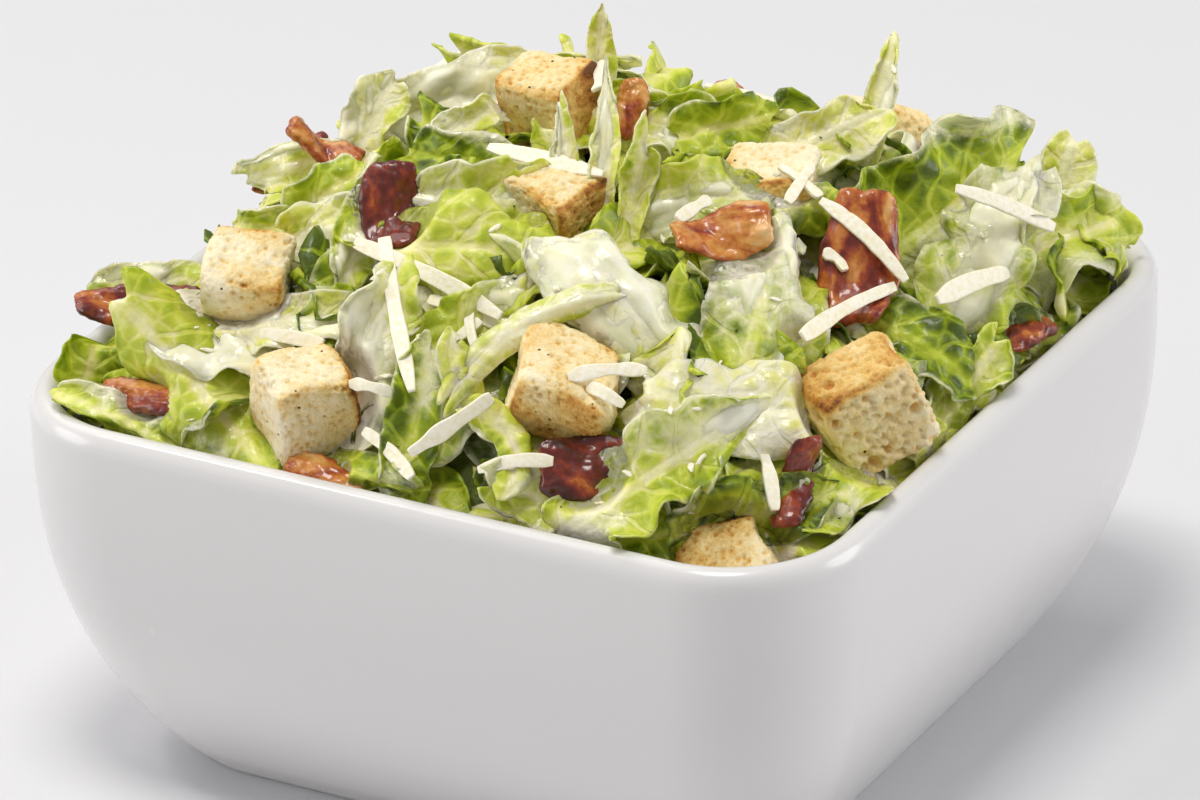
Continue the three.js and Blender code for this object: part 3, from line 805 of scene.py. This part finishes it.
TOP_LEAVES = [Leaf(*row) for row in (
    ((35, 2, 95), (-55, 40), -8, (20, 10), (0.5, 0.8), -70, 0.17, 19, -50),
    ((52, 22, 88), (-52, 36), 32, (40, 27), (0.4, 0.85), -20, 0.26, 43, 25, 0.14),
    ((60, 21, 84), (-50, 44), 56, (33, 18), (0.35, 0.7), -30, 0.42, 41, -25, 0.14),
    ((49, 49, 88), (-60, 20), 62, (16, 10), (0.55, 0.85), 30, 0.09, 31),
    ((57, 55, 79), (-58, 26), 70, (20, 11), (0.1, 0.4), -30, 0.36, 36, 25, 0.16),
    ((62, 44, 76), (-48, 38), 12, (27, 18), (0.35, 0.7), -30, 0.13, 53),
    ((66, 52, 75), (-30, 36), -30, (20, 14), (0.3, 0.6), -90, 0.17, 43),
    ((34, 31, 95), (-58, 16), 72, (30, 6), (0.1, 0.45), -20, 0.26, 8, 45, 0.25, 0, 20),
    ((29, 22, 97), (-62, 28), 24, (24, 13), (0.1, 0.3), -30, 0.42, 29),
    ((16, 14, 100), (-60, 28), 10, (17, 12), (0.5, 0.8), -40, 0.09, 43),
    ((4, -17, 100), (-62, 22), 96, (22, 6), (0.1, 0.45), 30, 0.3, 7, 50, 0.25),
    ((9, -15, 101), (-56, 20), 84, (24, 6), (0.05, 0.4), -20, 0.34, 7, 50, 0.3),
    ((15, -15, 100), (-50, 20), 74, (22, 7), (0.15, 0.55), 20, 0.21, 10, 50, 0.25),
    ((-5, -6, 102), (-66, 24), 100, (18, 7), (0.3, 0.6), 20, 0.17, 12, 40, 0.25),
    ((-12, 22, 101), (-64, 10), 82, (20, 6), (0.15, 0.35), 15, 0.26, 10, 35),
    ((-33, 11, 97), (-66, 24), 20, (26, 14), (0.0, 0.2), -30, 0.8, 26),
    ((-22, -4, 101), (-64, 26), 30, (15, 7), (0.1, 0.35), 75, 0.38, 19, 50),
    ((-20, -11, 97), (-66, 32), -8, (20, 11), (0.75, 1.0), -40, 0.1, 22),
    ((-38, -22, 92), (-70, 36), 40, (17, 11), (0.3, 0.6), -30, 0.49, 41),
    ((-24, -37, 93), (-66, 34), 72, (17, 10), (0.3, 0.6), -30, 0.51, 31),
    ((-33, -33, 91), (-80, 40), 20, (17, 11), (0.2, 0.5), 30, 0.51, 41),
    ((-47, -29, 87), (-84, 34), 10, (12, 8), (0.5, 0.8), -60, 0.17, 48),
    ((-54, -6, 87), (-80, 30), 20, (18, 9), (0.15, 0.45), -45, 0.42, 36, 25, 0.16),
    ((-44, 2, 94), (-72, 24), 66, (17, 10), (0.05, 0.3), -30, 0.47, 36, 25, 0.16),
    ((5, 12, 100), (-60, 30), -14, (22, 12), (0.35, 0.65), -40, 0.26, 36),
    ((24, -8, 98), (-58, 44), 8, (24, 13), (0.3, 0.6), -40, 0.3, 31),
    ((-6, -24, 98), (-64, 48), -6, (26, 14), (0.25, 0.55), -30, 0.34, 26),
)]

# Where leaves stand along the far side and the left edge, and the way they face.
FAR_PLACES = [
    (-66, 20, 180), (-64, 42, 170), (-52, 60, 130), (-30, 62, 100), (-8, 64, 92), (14, 62, 88),
    (36, 63, 80), (54, 62, 55), (-48, 24, 165), (-34, 40, 130), (-8, 46, 95), (20, 48, 85),
    (40, 44, 60), (-22, 24, 120), (-50, 44, 140), (6, 30, 90),
]
RIM_LEAVES_IN = 6  # from the wall to the middle of the leaves along it
RIM_LEAVES_ALONG = range(-48, 49, 12)
FILLING_SPACING = 14
FILLING_CORNER = 50  # from the middle to where the filling's corners begin
FILLING_ROUND = 16  # and their radius
# The deeper layer is painted a darker green: painted shade in the pockets of the heap.
FILLING_LAYERS = ((6.5, (0.75, 1.1)), (4.0, (0.35, 0.85)))  # how deep each lies, and how green


def loose_leaf(rng, at, face, lie, long, wide, green, **spans):
    """A leaf whose size and shape are drawn at random from spans."""
    size = (rng.uniform(*long), rng.uniform(*wide))
    shape = {key: rng.uniform(*span) for key, span in spans.items()}
    return Leaf(at, face, lie, size, green, **shape)


def far_leaves(rng):
    """Leaves that stand up along the far side and the left edge."""
    leaves = []
    for x, y, turn in FAR_PLACES:
        tone = rng.uniform(0.35, 0.85)
        lift = 3 if y > 50 or x < -60 else -0.5
        leaves.append(loose_leaf(
            rng, (x, y, heap_top(x, y) + lift + rng.uniform(-1, 1)),
            (turn + rng.uniform(-20, 20), rng.uniform(40, 65)), rng.uniform(-40, 40),
            (26, 36), (15, 21), (tone * 0.4, tone), curl=(-35, 30), fold=(-20, 15),
            twist=(-20, 20), ruffle=(24, 44), coat=(0.1, 0.62), tips=(0.1, 0.2)))
    return leaves


def rim_leaves(rng):
    """Leaves that lie along the inside of the rim, all the way round."""
    leaves = []
    out = HALF - WALL - RIM_LEAVES_IN
    for quarter in range(4):
        for along in RIM_LEAVES_ALONG:
            turn = radians(90 * quarter)
            x = out * cos(turn) - along * sin(turn)
            y = out * sin(turn) + along * cos(turn)
            tone = rng.uniform(0.35, 0.9)
            leaves.append(loose_leaf(
                rng, (x, y, RIM + rng.uniform(-3.5, -1)),
                (90 * quarter + rng.uniform(-25, 25), rng.uniform(45, 75)), rng.uniform(-30, 30),
                (18, 26), (11, 15), (tone * 0.5, tone), curl=(-30, 20), twist=(-15, 15),
                ruffle=(20, 40), coat=(0.0, 0.4), tips=(0.08, 0.16)))
    return leaves


def filling_leaves(rng):
    """Leaves all over the heap, lying along it at random, for what shows between the others."""
    leaves = []
    reach = HALF - WALL - RIM_LEAVES_IN
    steps = int(reach // FILLING_SPACING)
    for layer, (depth, greens) in enumerate(FILLING_LAYERS):
        for place in np.ndindex(2 * steps + 1, 2 * steps + 1):
            place = np.array(place) - steps + rng.uniform(-0.4, 0.4, 2) + layer / 2
            x, y = np.clip(place * FILLING_SPACING, -reach, reach)
            if hypot(*(max(abs(a) - FILLING_CORNER, 0) for a in (x, y))) > FILLING_ROUND:
                continue
            normal = unit(heap_normal(x, y) + rng.normal(0, 0.34, 3))
            face = (atan2(normal[1], normal[0]), asin(normal[2]))
            # Deeper leaves take darker greens, as painted shade.
            tone = rng.uniform(*greens)
            leaves.append(loose_leaf(
                rng, (x, y, heap_top(x, y) - depth + rng.uniform(-1, 1)),
                tuple(degrees(angle) for angle in face), rng.uniform(0, 360), (24, 36), (13, 20),
                (tone * 0.55, tone + 0.2), curl=(-40, 35), fold=(-20, 20), twist=(-25, 25),
                ruffle=(18, 40), coat=(-0.2, 0.3), tips=(0.08, 0.2)))
    return leaves


def toppings():
    """Where each crouton and piece of bacon lies: its middle, its reach, how far out from its
    middle leaves may come, and the way it faces."""
    spots = []
    turn = radians(CAMERA_AZIMUTH)
    near = np.array([sin(turn), -cos(turn), 0.3])
    for name in list(CROUTONS) + list(BACON_FRIED):
        low, high = (np.array(corner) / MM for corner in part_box(name))
        middle = (low + high) / 2 - np.array([0, 0, CROUTON_SINK.get(name, 0)])
        outward = heap_normal(middle[0], middle[1])
        if middle[1] < 25:
            outward = unit(outward + 0.8 * near)
        reach = 0.5 * np.sort(high - low)[1]
        bacon_bare = 1.0 if middle[1] < 30 else 0.4
        bare = CROUTONS[name][-1] if name in CROUTONS else bacon_bare
        spots.append((middle, reach, (0.9 - 1.15 * bare) * reach, outward))
    return spots


def press_behind(points, spots):
    """Presses leaves that would cover a topping down behind it, as if it lay on them."""
    points = points.copy()
    for middle, reach, level, outward in spots:
        away = points - middle
        front = away @ outward
        beside = np.linalg.norm(away - front[:, None] * outward, axis=1)
        limit = level + 1.1 * np.maximum(beside - reach, 0)
        excess = np.maximum(front - limit, 0) * smoothstep(1.8 * reach, 1.35 * reach, beside)
        points -= (LEAF_GIVES * excess)[:, None] * outward
    return points


def fit_in_bowl(points):
    """Presses points that would pass through the bowl's wall back inside it. Points above the
    rim are free."""
    x, y, z = points.T
    corner = RIM_CORNER - WALL
    inner = HALF - WALL - LEAF_CLEAR - corner
    over = np.maximum(np.abs(points[:, :2]) - inner, 0)
    pressed = np.minimum(1, corner / np.maximum(np.hypot(*over.T), 1e-9))
    factor = 1 + (pressed - 1) * smoothstep(RIM + 3.0, RIM - 1.0, z)
    points = points.copy()
    for axis, line in enumerate((x, y)):
        inside = np.sign(line) * (inner + over[:, axis] * factor)
        points[:, axis] = np.where(over[:, axis] > 0, inside, line)
    return points


def settle(batch, leaf, spots):
    """Presses the leaf last added to a batch behind the toppings and inside the bowl."""
    points = batch.points[-1]
    if not leaf.over:
        points = press_behind(points, spots)
    batch.points[-1] = fit_in_bowl(points)


def build_leaves():
    """Every leaf and the dressing on it, in a few pieces."""
    rng = np.random.default_rng(11)
    layers = [
        ("romaine_near", NEAR_LEAVES, 52, 33, True),
        ("romaine_top", TOP_LEAVES, 50, 31, True),
        ("romaine_far", far_leaves(rng), 44, 27, True),
        ("romaine_rim", rim_leaves(rng), 32, 19, False),
        ("romaine_filling", filling_leaves(rng), 22, 13, False),
    ]
    spots = toppings()
    pieces = []
    film = Batch()
    seed = 100
    for name, leaves, rows, cols, coated in layers:
        batch = Batch()
        for leaf in leaves:
            seed += 1
            add_leaf(batch, leaf, seed, rows, cols)
            settle(batch, leaf, spots)
            if coated and leaf.coat > FILM_COAT:
                add_film(film, leaf, seed, *FILM_GRID)
                settle(film, leaf, spots)
        pieces.append((batch.make(name, ROMAINE), ROMAINE))
    pieces.append((film.make("dressing_on_leaves", DRESSING), DRESSING))
    for piece, material in pieces:
        run_tree(piece, BLISTERS, {
            "Height": BLISTER_HEIGHT * MM, "Crease": CREASE_HEIGHT * MM, "Material": material})
        own(piece, "lettuce")
    return [piece for piece, material in pieces]


# ---- Croutons ----

# Each crouton's size; how far it is spun, how far it leans and which way; the side that is
# crust; how dark it is toasted; and how clear of the leaves it lies, from 0 to 1.
CROUTONS = {
    "crouton_left": ((12.5, 12.5, 11), (22, 26, -50), "bottom", 0.16, 0.8),
    "crouton_front_left": ((12.5, 12.5, 15.5), (-42, 14, -75), "back", 0.14, 1.0),
    "crouton_middle": ((15, 14.5, 12), (20, 30, -15), "left", 0.16, 1.0),
    "crouton_right": ((12, 15.5, 16), (-42, 24, -128), "top", 0.2, 1.0),
    "crouton_corner": ((13, 12, 12), (35, 30, -90), "back", 0.22, 0.7),
    "crouton_top": ((13, 12, 14), (-2, 8, -100), "right", 0.22, 0.6),
    "crouton_upper": ((12.5, 12, 9), (-15, 12, -60), "right", 0.12, 0.1),
    "crouton_upper_right": ((14, 12, 8), (20, 6, -100), "left", 0.08, 0.1),
    "crouton_far_left": ((13, 14, 12), (25, 22, 160), "top", 0.24, 0.25),
    "crouton_far": ((14, 13, 13), (-30, 26, 85), "left", 0.24, 0.4),
}
CRUST_SIDES = {"top": (2, 1), "bottom": (2, -1), "left": (1, -1), "right": (0, 1), "back": (1, 1)}
CROUTON_CUTS = 37
# How far the bread has sunk between leaves.
CROUTON_SINK = {"crouton_corner": 3.0, "crouton_far_left": 4.0}
CROUTON_SWELL = 1.1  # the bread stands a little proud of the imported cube
CROUTON_SQUARENESS = 7
# The width and depth of the air holes, in open crumb and in close crumb.
OPEN_HOLES = (3.4, 1.6)
CLOSE_HOLES = (1.5, 0.45)
OPEN_CROUTONS = ("crouton_right", "crouton_far")


def crumb_tree():
    """Roughens bread: small bumps, and round air holes that open where the crumb is cut."""
    add, finish, mesh, wide, deep, rough = nodes_tree(
        "bread_crumb", ("Hole size", "Float"), ("Hole depth", "Float"), ("Roughness", "Float"))
    here = add("GeometryNodeInputPosition")
    normal = add("GeometryNodeInputNormal")
    per_hole = add("Math", 1.0, wide, operation="DIVIDE")
    cells = add("TexVoronoi", Vector=here, Scale=per_hole, Randomness=1.0)
    fine_scale = add("Math", per_hole, 2.7, operation="MULTIPLY")
    small = add("TexVoronoi", Vector=here, Scale=fine_scale, Randomness=1.0)
    hole = add("MapRange", cells, 0.2, 0.36, 1.0, 0.0, **SMOOTH)
    pore = add("MapRange", small, 0.15, 0.5, 0.45, 0.0, **SMOOTH)
    pits = add("Math", hole, pore, operation="MAXIMUM")
    brown = add("GeometryNodeInputNamedAttribute", Name="brown", data_type="FLOAT")
    open_crumb = add("MapRange", brown, 0.3, 0.65, 1.0, 0.3)
    pits = add("Math", pits, open_crumb, operation="MULTIPLY")
    bumps = add("TexNoise", Vector=here, Scale=1 / (1.3 * MM), Detail=4.0, Roughness=0.75)
    swell = add("Math", bumps, 0.5, operation="SUBTRACT")
    sink = add("Math", pits, deep, operation="MULTIPLY")
    height = total(add, 0.0, (swell, rough), (sink, -1.0))
    # The pits are kept for the bread's material, which paints them darker as shade.
    kept = add(
        "GeometryNodeStoreNamedAttribute", Geometry=mesh, Name="pit", Value=pits,
        data_type="FLOAT")
    return finish(push_out(add, kept, normal, height))


def turn_matrix(spin, lean, lean_to):
    """Spins about the upright, then leans the top over towards a direction."""
    away = radians(lean_to)
    axis = Vector((-sin(away), cos(away), 0))
    return Matrix.Rotation(radians(lean), 3, axis) @ Matrix.Rotation(radians(spin), 3, "Z")


def build_crouton(name, tree, seed):
    size, turn, crust, toasted, _ = CROUTONS[name]
    low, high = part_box(name)
    cube = bmesh.new()
    bmesh.ops.create_cube(cube, size=2)
    bmesh.ops.subdivide_edges(cube, edges=cube.edges[:], cuts=CROUTON_CUTS, use_grid_fill=True)
    mesh = to_mesh(name + "_bread", cube)
    points = np.array([vertex.co for vertex in mesh.vertices])
    power = CROUTON_SQUARENESS
    worn = np.sum(np.abs(points) ** power, 1) ** (-1 / power)
    shaped = points * np.minimum(worn, 1)[:, None]
    for axis in range(3):
        a, b = (1.9 * shaped[:, i] for i in range(3) if i != axis)
        shaped[:, axis] += 0.09 * ripple(a, b, seed + axis)
    edges = np.sort(np.abs(points), 1)
    x, y, z = points.T
    uneven = ripple(1.7 * x + z, 1.7 * y - z, seed + 5)
    brown = toasted + 0.24 * smoothstep(0.66, 1.0, edges[:, 1]) * (0.45 + 0.9 * uneven)
    axis, sign = CRUST_SIDES[crust]
    brown = brown + 0.4 * smoothstep(0.8, 0.99, sign * points[:, axis]) * (0.8 + 0.4 * uneven)
    brown = brown + 0.14 * uneven
    shaped = shaped * np.array(size) / 2 * CROUTON_SWELL
    centre = (low + high) / 2 - Vector((0, 0, CROUTON_SINK.get(name, 0) * MM))
    placed = shaped * MM @ np.array(turn_matrix(*turn)).T + np.array(centre)
    mesh.vertices.foreach_set("co", placed.ravel())
    store(mesh, "brown", brown)
    wide, deep = OPEN_HOLES if name in OPEN_CROUTONS else CLOSE_HOLES
    piece = run_tree(add_piece(name + "_bread", mesh), tree, {
        "Hole size": wide * MM, "Hole depth": deep * MM, "Roughness": 1.2 * MM, "Material": TOAST})
    return own(piece, "toast", name)


# ---- Bacon ----

# How dark each piece of bacon is fried, from 0 for pale fat to 1 for burnt.
BACON_FRIED = {
    "bacon_upper_left": 0.0, "bacon_dark": 0.8, "bacon_far_left": 0.55, "bacon_left": 0.4,
    "bacon_front_left": -0.05, "bacon_middle": 0.95, "bacon_front": 0.6, "bacon_pale": -0.15,
    "bacon_right": 0.36, "bacon_rim": 0.3, "bacon_top": -0.05, "bacon_back": 0.4,
    "bacon_back_left": 0.3, "bacon_left_edge": 0.6,
}
BACON_SWELL = 1.2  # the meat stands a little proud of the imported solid


def rasher_tree():
    """Crinkles fried bacon: long shallow wrinkles along it, and small blisters all over."""
    add, finish, mesh, wrinkle, blister = nodes_tree(
        "bacon_crinkles", ("Wrinkle", "Float"), ("Blister", "Float"))
    here = add("GeometryNodeInputPosition")
    normal = add("GeometryNodeInputNormal")
    along = add("GeometryNodeInputNamedAttribute", Name="streak_mm", data_type="FLOAT_VECTOR")
    drawn = add("VectorMath", along, (0.1, 0.26, 0.24), operation="MULTIPLY")
    wrinkles = add("TexNoise", Vector=drawn, Scale=1.0, Detail=2.0)
    blisters = add("TexNoise", Vector=here, Scale=1 / (1.6 * MM), Detail=3.0, Roughness=0.6)
    wide, fine = (add("Math", noise, 0.5, operation="SUBTRACT") for noise in (wrinkles, blisters))
    height = total(add, 0.0, (wide, wrinkle), (fine, blister))
    return finish(push_out(add, mesh, normal, height))


def build_rasher(name, tree, seed):
    """A piece of bacon: the frame's own solid, merged, smoothed and crinkled."""
    source = bmesh.new()
    source.from_mesh(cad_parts[name].data)
    bmesh.ops.remove_doubles(source, verts=source.verts[:], dist=0.01 * MM)
    bmesh.ops.join_triangles(
        source, faces=source.faces[:], angle_face_threshold=radians(50),
        angle_shape_threshold=radians(60))
    piece = round_off(add_piece(name + "_rasher", to_mesh(name + "_rasher", source)), 3)
    points = np.array([vertex.co for vertex in piece.data.vertices]) / MM
    centre = points.mean(0)
    centred = points - centre
    swollen = (centre + BACON_SWELL * centred) * MM
    piece.data.vertices.foreach_set("co", swollen.ravel())
    axes = np.linalg.svd(centred, full_matrices=False)[2]
    local = centred @ axes.T
    local[:, 2] += 9.1 * seed
    beside = np.abs(centred @ axes[1])
    fried = BACON_FRIED[name] + 0.35 * smoothstep(0.6, 1.0, beside / max(beside.max(), 1e-6))
    store(piece.data, "streak_mm", local)
    store(piece.data, "fried", fried)
    run_tree(piece, tree, {"Wrinkle": 2.6 * MM, "Blister": 1.1 * MM, "Material": BACON})
    return own(piece, "bacon", name)


# ---- Shredded cheese, and what is scattered ----

# Shreds laid on the heap, by the points over which each starts and ends, and its width.
SHREDS = [
    ((-23, -40), (8, -47), 2.8), ((-15, -44), (1, -64), 2.6), ((-33, -54), (-21, -54), 2.4),
    ((-11, -63), (-3, -63), 2.2), ((-7, -66), (4, -70), 2.4), ((6, -74), (15, -63), 2.6),
    ((15, -68), (27, -65), 2.2), ((-12, -15), (10, -16), 2.6), ((-6, 12), (-1, 2), 2.4),
    ((58, 15), (69, 29), 2.6), ((62, 0), (65, 20), 2.8), ((52, -28), (55, -1), 2.6),
    ((41, 0), (57, -1), 2.4), ((44, -5), (48, -5), 2.0), ((32, 3), (40, 2), 2.0),
    ((35, 9), (37, -4), 2.0), ((26, -58), (38, -54), 2.2), ((29, -57), (36, -58), 2.0),
    ((56, -49), (61, -55), 2.2), ((-62, -22), (-51, -31), 2.2), ((25, -19), (26, -10), 2.2),
    ((-7, -44), (7, -46), 2.2), ((0, -52), (4, -47), 2.0), ((5, -52), (9, -48), 2.0),
    ((1, -44), (6, -52), 1.8), ((1, -56), (5, -53), 2.0), ((-18, 28), (-4, 34), 2.2),
    ((20, 40), (30, 34), 2.2), ((-40, 30), (-34, 42), 2.2), ((-10, 56), (6, 60), 2.4),
    ((44, 52), (54, 44), 2.2), ((-56, 44), (-46, 50), 2.2),
]

SHRED_THICK = 0.8
SHRED_RESTS = 88  # a shred lies on this percentile of the heights under it


def surface_under(pieces):
    """A function that gives the top of the pieces over a point, in millimetres."""
    points, faces = [], []
    for piece in pieces:
        count = len(points)
        points += [vertex.co for vertex in piece.data.vertices]
        faces += [[index + count for index in face.vertices] for face in piece.data.polygons]
    tree = BVHTree.FromPolygons(points, faces)

    def top(x, y):
        hit = tree.ray_cast(Vector((x * MM, y * MM, 0.2)), Vector((0, 0, -1)))[0]
        return hit.z / MM if hit else float(heap_top(x, y))

    return top


def build_shreds(top):
    batch = Batch()
    rng = np.random.default_rng(23)
    for start, end, wide in SHREDS:
        start, end = np.array(start, float), np.array(end, float)
        run = end - start
        steps = np.concatenate([[0, 0.015], np.linspace(0.04, 0.96, 13), [0.985, 1]])
        arch = np.sin(pi * steps)
        path = start + run * steps[:, None]
        path = path + unit(np.array([-run[1], run[0]])) * (rng.uniform(-0.8, 0.8) * arch)[:, None]
        heights = np.array([top(x, y) for x, y in path])
        # A shred is stiff: it bridges from high point to high point, nearly straight.
        first, last = (float(heap_top(*place)) for place in (start, end))
        slope = first + (last - first) * steps + rng.uniform(0, 1.2) * arch
        lift = np.percentile(heights - slope, SHRED_RESTS)
        line = np.column_stack([path, slope + lift + 0.4])
        tangent = unit(np.gradient(line, axis=0))
        facing = heap_normal(*path.mean(0)) + [0.35, -0.65, 0] + rng.normal(0, 0.25, 3)
        flat = unit(np.cross(tangent, facing))
        across = np.array([-0.5, -0.44, -0.2, 0.2, 0.44, 0.5])
        ragged = wide * (0.98 + 0.2 * ripple(9 * steps, 0 * steps, rng.integers(1000), 3))
        ragged = ragged * np.minimum(1, 0.6 + rng.uniform(2, 6) * np.minimum(steps, 1 - steps))
        grid = line[:, None] + flat[:, None] * (across[None, :] * ragged[:, None])[..., None]
        thick = SHRED_THICK / 2 * (1 - 0.2 * (2 * np.abs(across)) ** 2) * np.ones((len(steps), 1))
        batch.add(*slab(grid, grid_normals(grid), thick, thick))
    return own(round_off(batch.make("cheese_shreds", CHEESE), 1), "lettuce")


# What is strewn on the leaves: the grain's length, width and height in millimetres, how many
# lie on a square metre, the smallest and largest size, and the seed.
STREWN = (
    ("cheese_crumbs", (2.6, 0.9, 0.6), CHEESE, 2600, 0.5, 1.5, 0),
    ("herb_specks", (1.0, 0.7, 0.25), HERB, 1500, 0.35, 0.9, 9),
)
STREWN_UP = 0.35  # how far up a face has to look to be strewn


def crumb_shape(name, stretch, material):
    """A small uneven grain, to be scattered."""
    shape = bmesh.new()
    bmesh.ops.create_icosphere(shape, subdivisions=1, radius=0.5 * MM)
    for index, vertex in enumerate(shape.verts):
        uneven = 1 + 0.25 * sin(5.1 * index)
        vertex.co = Vector(co * s * uneven for co, s in zip(vertex.co, stretch))
    mesh = to_mesh(name + "_grain", shape)
    mesh.materials.append(material)
    return bpy.data.objects.new(mesh.name, mesh)


def scatter_tree():
    """Scatters copies of a grain over the upper faces of a mesh, at random sizes."""
    add, finish, mesh, grain, density, smallest, largest, seed = nodes_tree(
        "scattered_grains", ("Grain", "Object"), ("Density", "Float"), ("Smallest", "Float"),
        ("Largest", "Float"), ("Seed", "Int"))
    up = add("SeparateXYZ", add("GeometryNodeInputNormal")).outputs["Z"]
    upper = add("FunctionNodeCompare", up, STREWN_UP, data_type="FLOAT", operation="GREATER_THAN")
    spread = add(
        "GeometryNodeDistributePointsOnFaces", Mesh=mesh, Selection=upper, Density=density,
        Seed=seed)
    turn = add(
        "FunctionNodeRandomValue", (0.0, 0.0, 0.0), (0.6, 0.6, 6.28), data_type="FLOAT_VECTOR")
    return finish(add(
        "GeometryNodeInstanceOnPoints", Points=spread, Rotation=turn,
        Instance=add("GeometryNodeObjectInfo", Object=grain).outputs["Geometry"],
        Scale=add("FunctionNodeRandomValue", smallest, largest)))


def build_scatter(name, tree, base, grain, material, density, smallest, largest, seed):
    """A piece of scattered grains over the faces of another piece."""
    piece = run_tree(put(name, base.data.copy()), tree, {
        "Grain": grain, "Density": density, "Smallest": smallest, "Largest": largest, "Seed": seed,
        "Material": material})
    return own(piece, "lettuce")


# ---- Floor, light and camera ----

# Each lamp's place in metres, width, power and tint.
LAMPS = [
    ("key_back_left", (-1.5, 0.5, 1.9), 1.9, 16.5, "#fffbf5"),
    ("spark", (-0.7, -0.3, 1.3), 0.12, 1.6, "#ffffff"),
    ("top", (0.0, -0.25, 1.4), 0.5, 9.4, "#fffdf8"),
    ("fill_right", (1.2, 0.7, 0.45), 0.9, 7.4, "#ffffff"),
    ("fill_left", (-1.1, -0.7, 0.35), 0.8, 4.6, "#ffffff"),
]
LAMPS_AIM = (0, 0, 0.08)


def build_stage():
    corners = [(-1, -1, 0), (1, -1, 0), (1, 1, 0), (-1, 1, 0)]
    add_mesh("floor", FLOOR_REACH * np.array(corners), [(0, 1, 2, 3)], BOARD)

    world = bpy.data.worlds.new("studio")
    bpy.context.scene.world = world
    world.use_nodes = True
    background = world.node_tree.nodes["Background"]
    feed(world.node_tree, background, {"Color": linear("#fafafc"), "Strength": 0.37})

    for name, place, size, power, tint in LAMPS:
        light = bpy.data.lights.new(name, "AREA")
        light.shape = "DISK"
        light.size = size
        light.energy = power
        light.color = linear(tint)[:3]
        lamp = put(name, light)
        lamp.location = place
        aim = Vector(LAMPS_AIM) - lamp.location
        lamp.rotation_euler = aim.to_track_quat("-Z", "Y").to_euler()
    bpy.context.scene.view_settings.view_transform = "Standard"


def build_camera():
    turn, up, roll = (radians(a) for a in (CAMERA_AZIMUTH, CAMERA_ELEVATION, CAMERA_ROLL))
    back = Vector((sin(turn) * cos(up), -cos(turn) * cos(up), sin(up)))
    level = (-back).cross(Vector((0, 0, 1))).normalized()
    steep = level.cross(-back)
    right = level * cos(roll) + steep * sin(roll)
    above = steep * cos(roll) - level * sin(roll)
    data = bpy.data.cameras.new("camera")
    data.lens = CAMERA_LENS
    data.sensor_width = 36
    data.clip_start = 0.05
    data.clip_end = 20
    camera = put("camera", data)
    aim = Vector((0, 0, 0.8 * RIM)) + right * CAMERA_AIM[0] + above * CAMERA_AIM[1]
    place = Matrix.Translation((aim + back * CAMERA_DISTANCE) * MM)
    camera.matrix_world = place @ Matrix((right, above, back)).transposed().to_4x4()
    bpy.context.scene.camera = camera


# ---- Putting it together ----

build_camera()
build_stage()
bowl = build_bowl()
build_core()
leaves = build_leaves()
crumbs = crumb_tree()
croutons = [build_crouton(name, crumbs, 40 + 7 * order) for order, name in enumerate(CROUTONS)]
crinkles = rasher_tree()
rashers = [build_rasher(name, crinkles, 1 + order) for order, name in enumerate(BACON_FRIED)]
build_shreds(surface_under([bowl] + leaves + croutons + rashers))
scatter = scatter_tree()
grains = [crumb_shape(name, stretch, material) for name, stretch, material, *_ in STREWN]
for order, base in enumerate(leaves[:3]):
    for grain, (name, _, material, *amounts, seed) in zip(grains, STREWN):
        build_scatter(
            "%s_%d" % (name, order + 1), scatter, base, grain, material, *amounts, seed + order)
for grain in grains:
    bpy.data.objects.remove(grain)
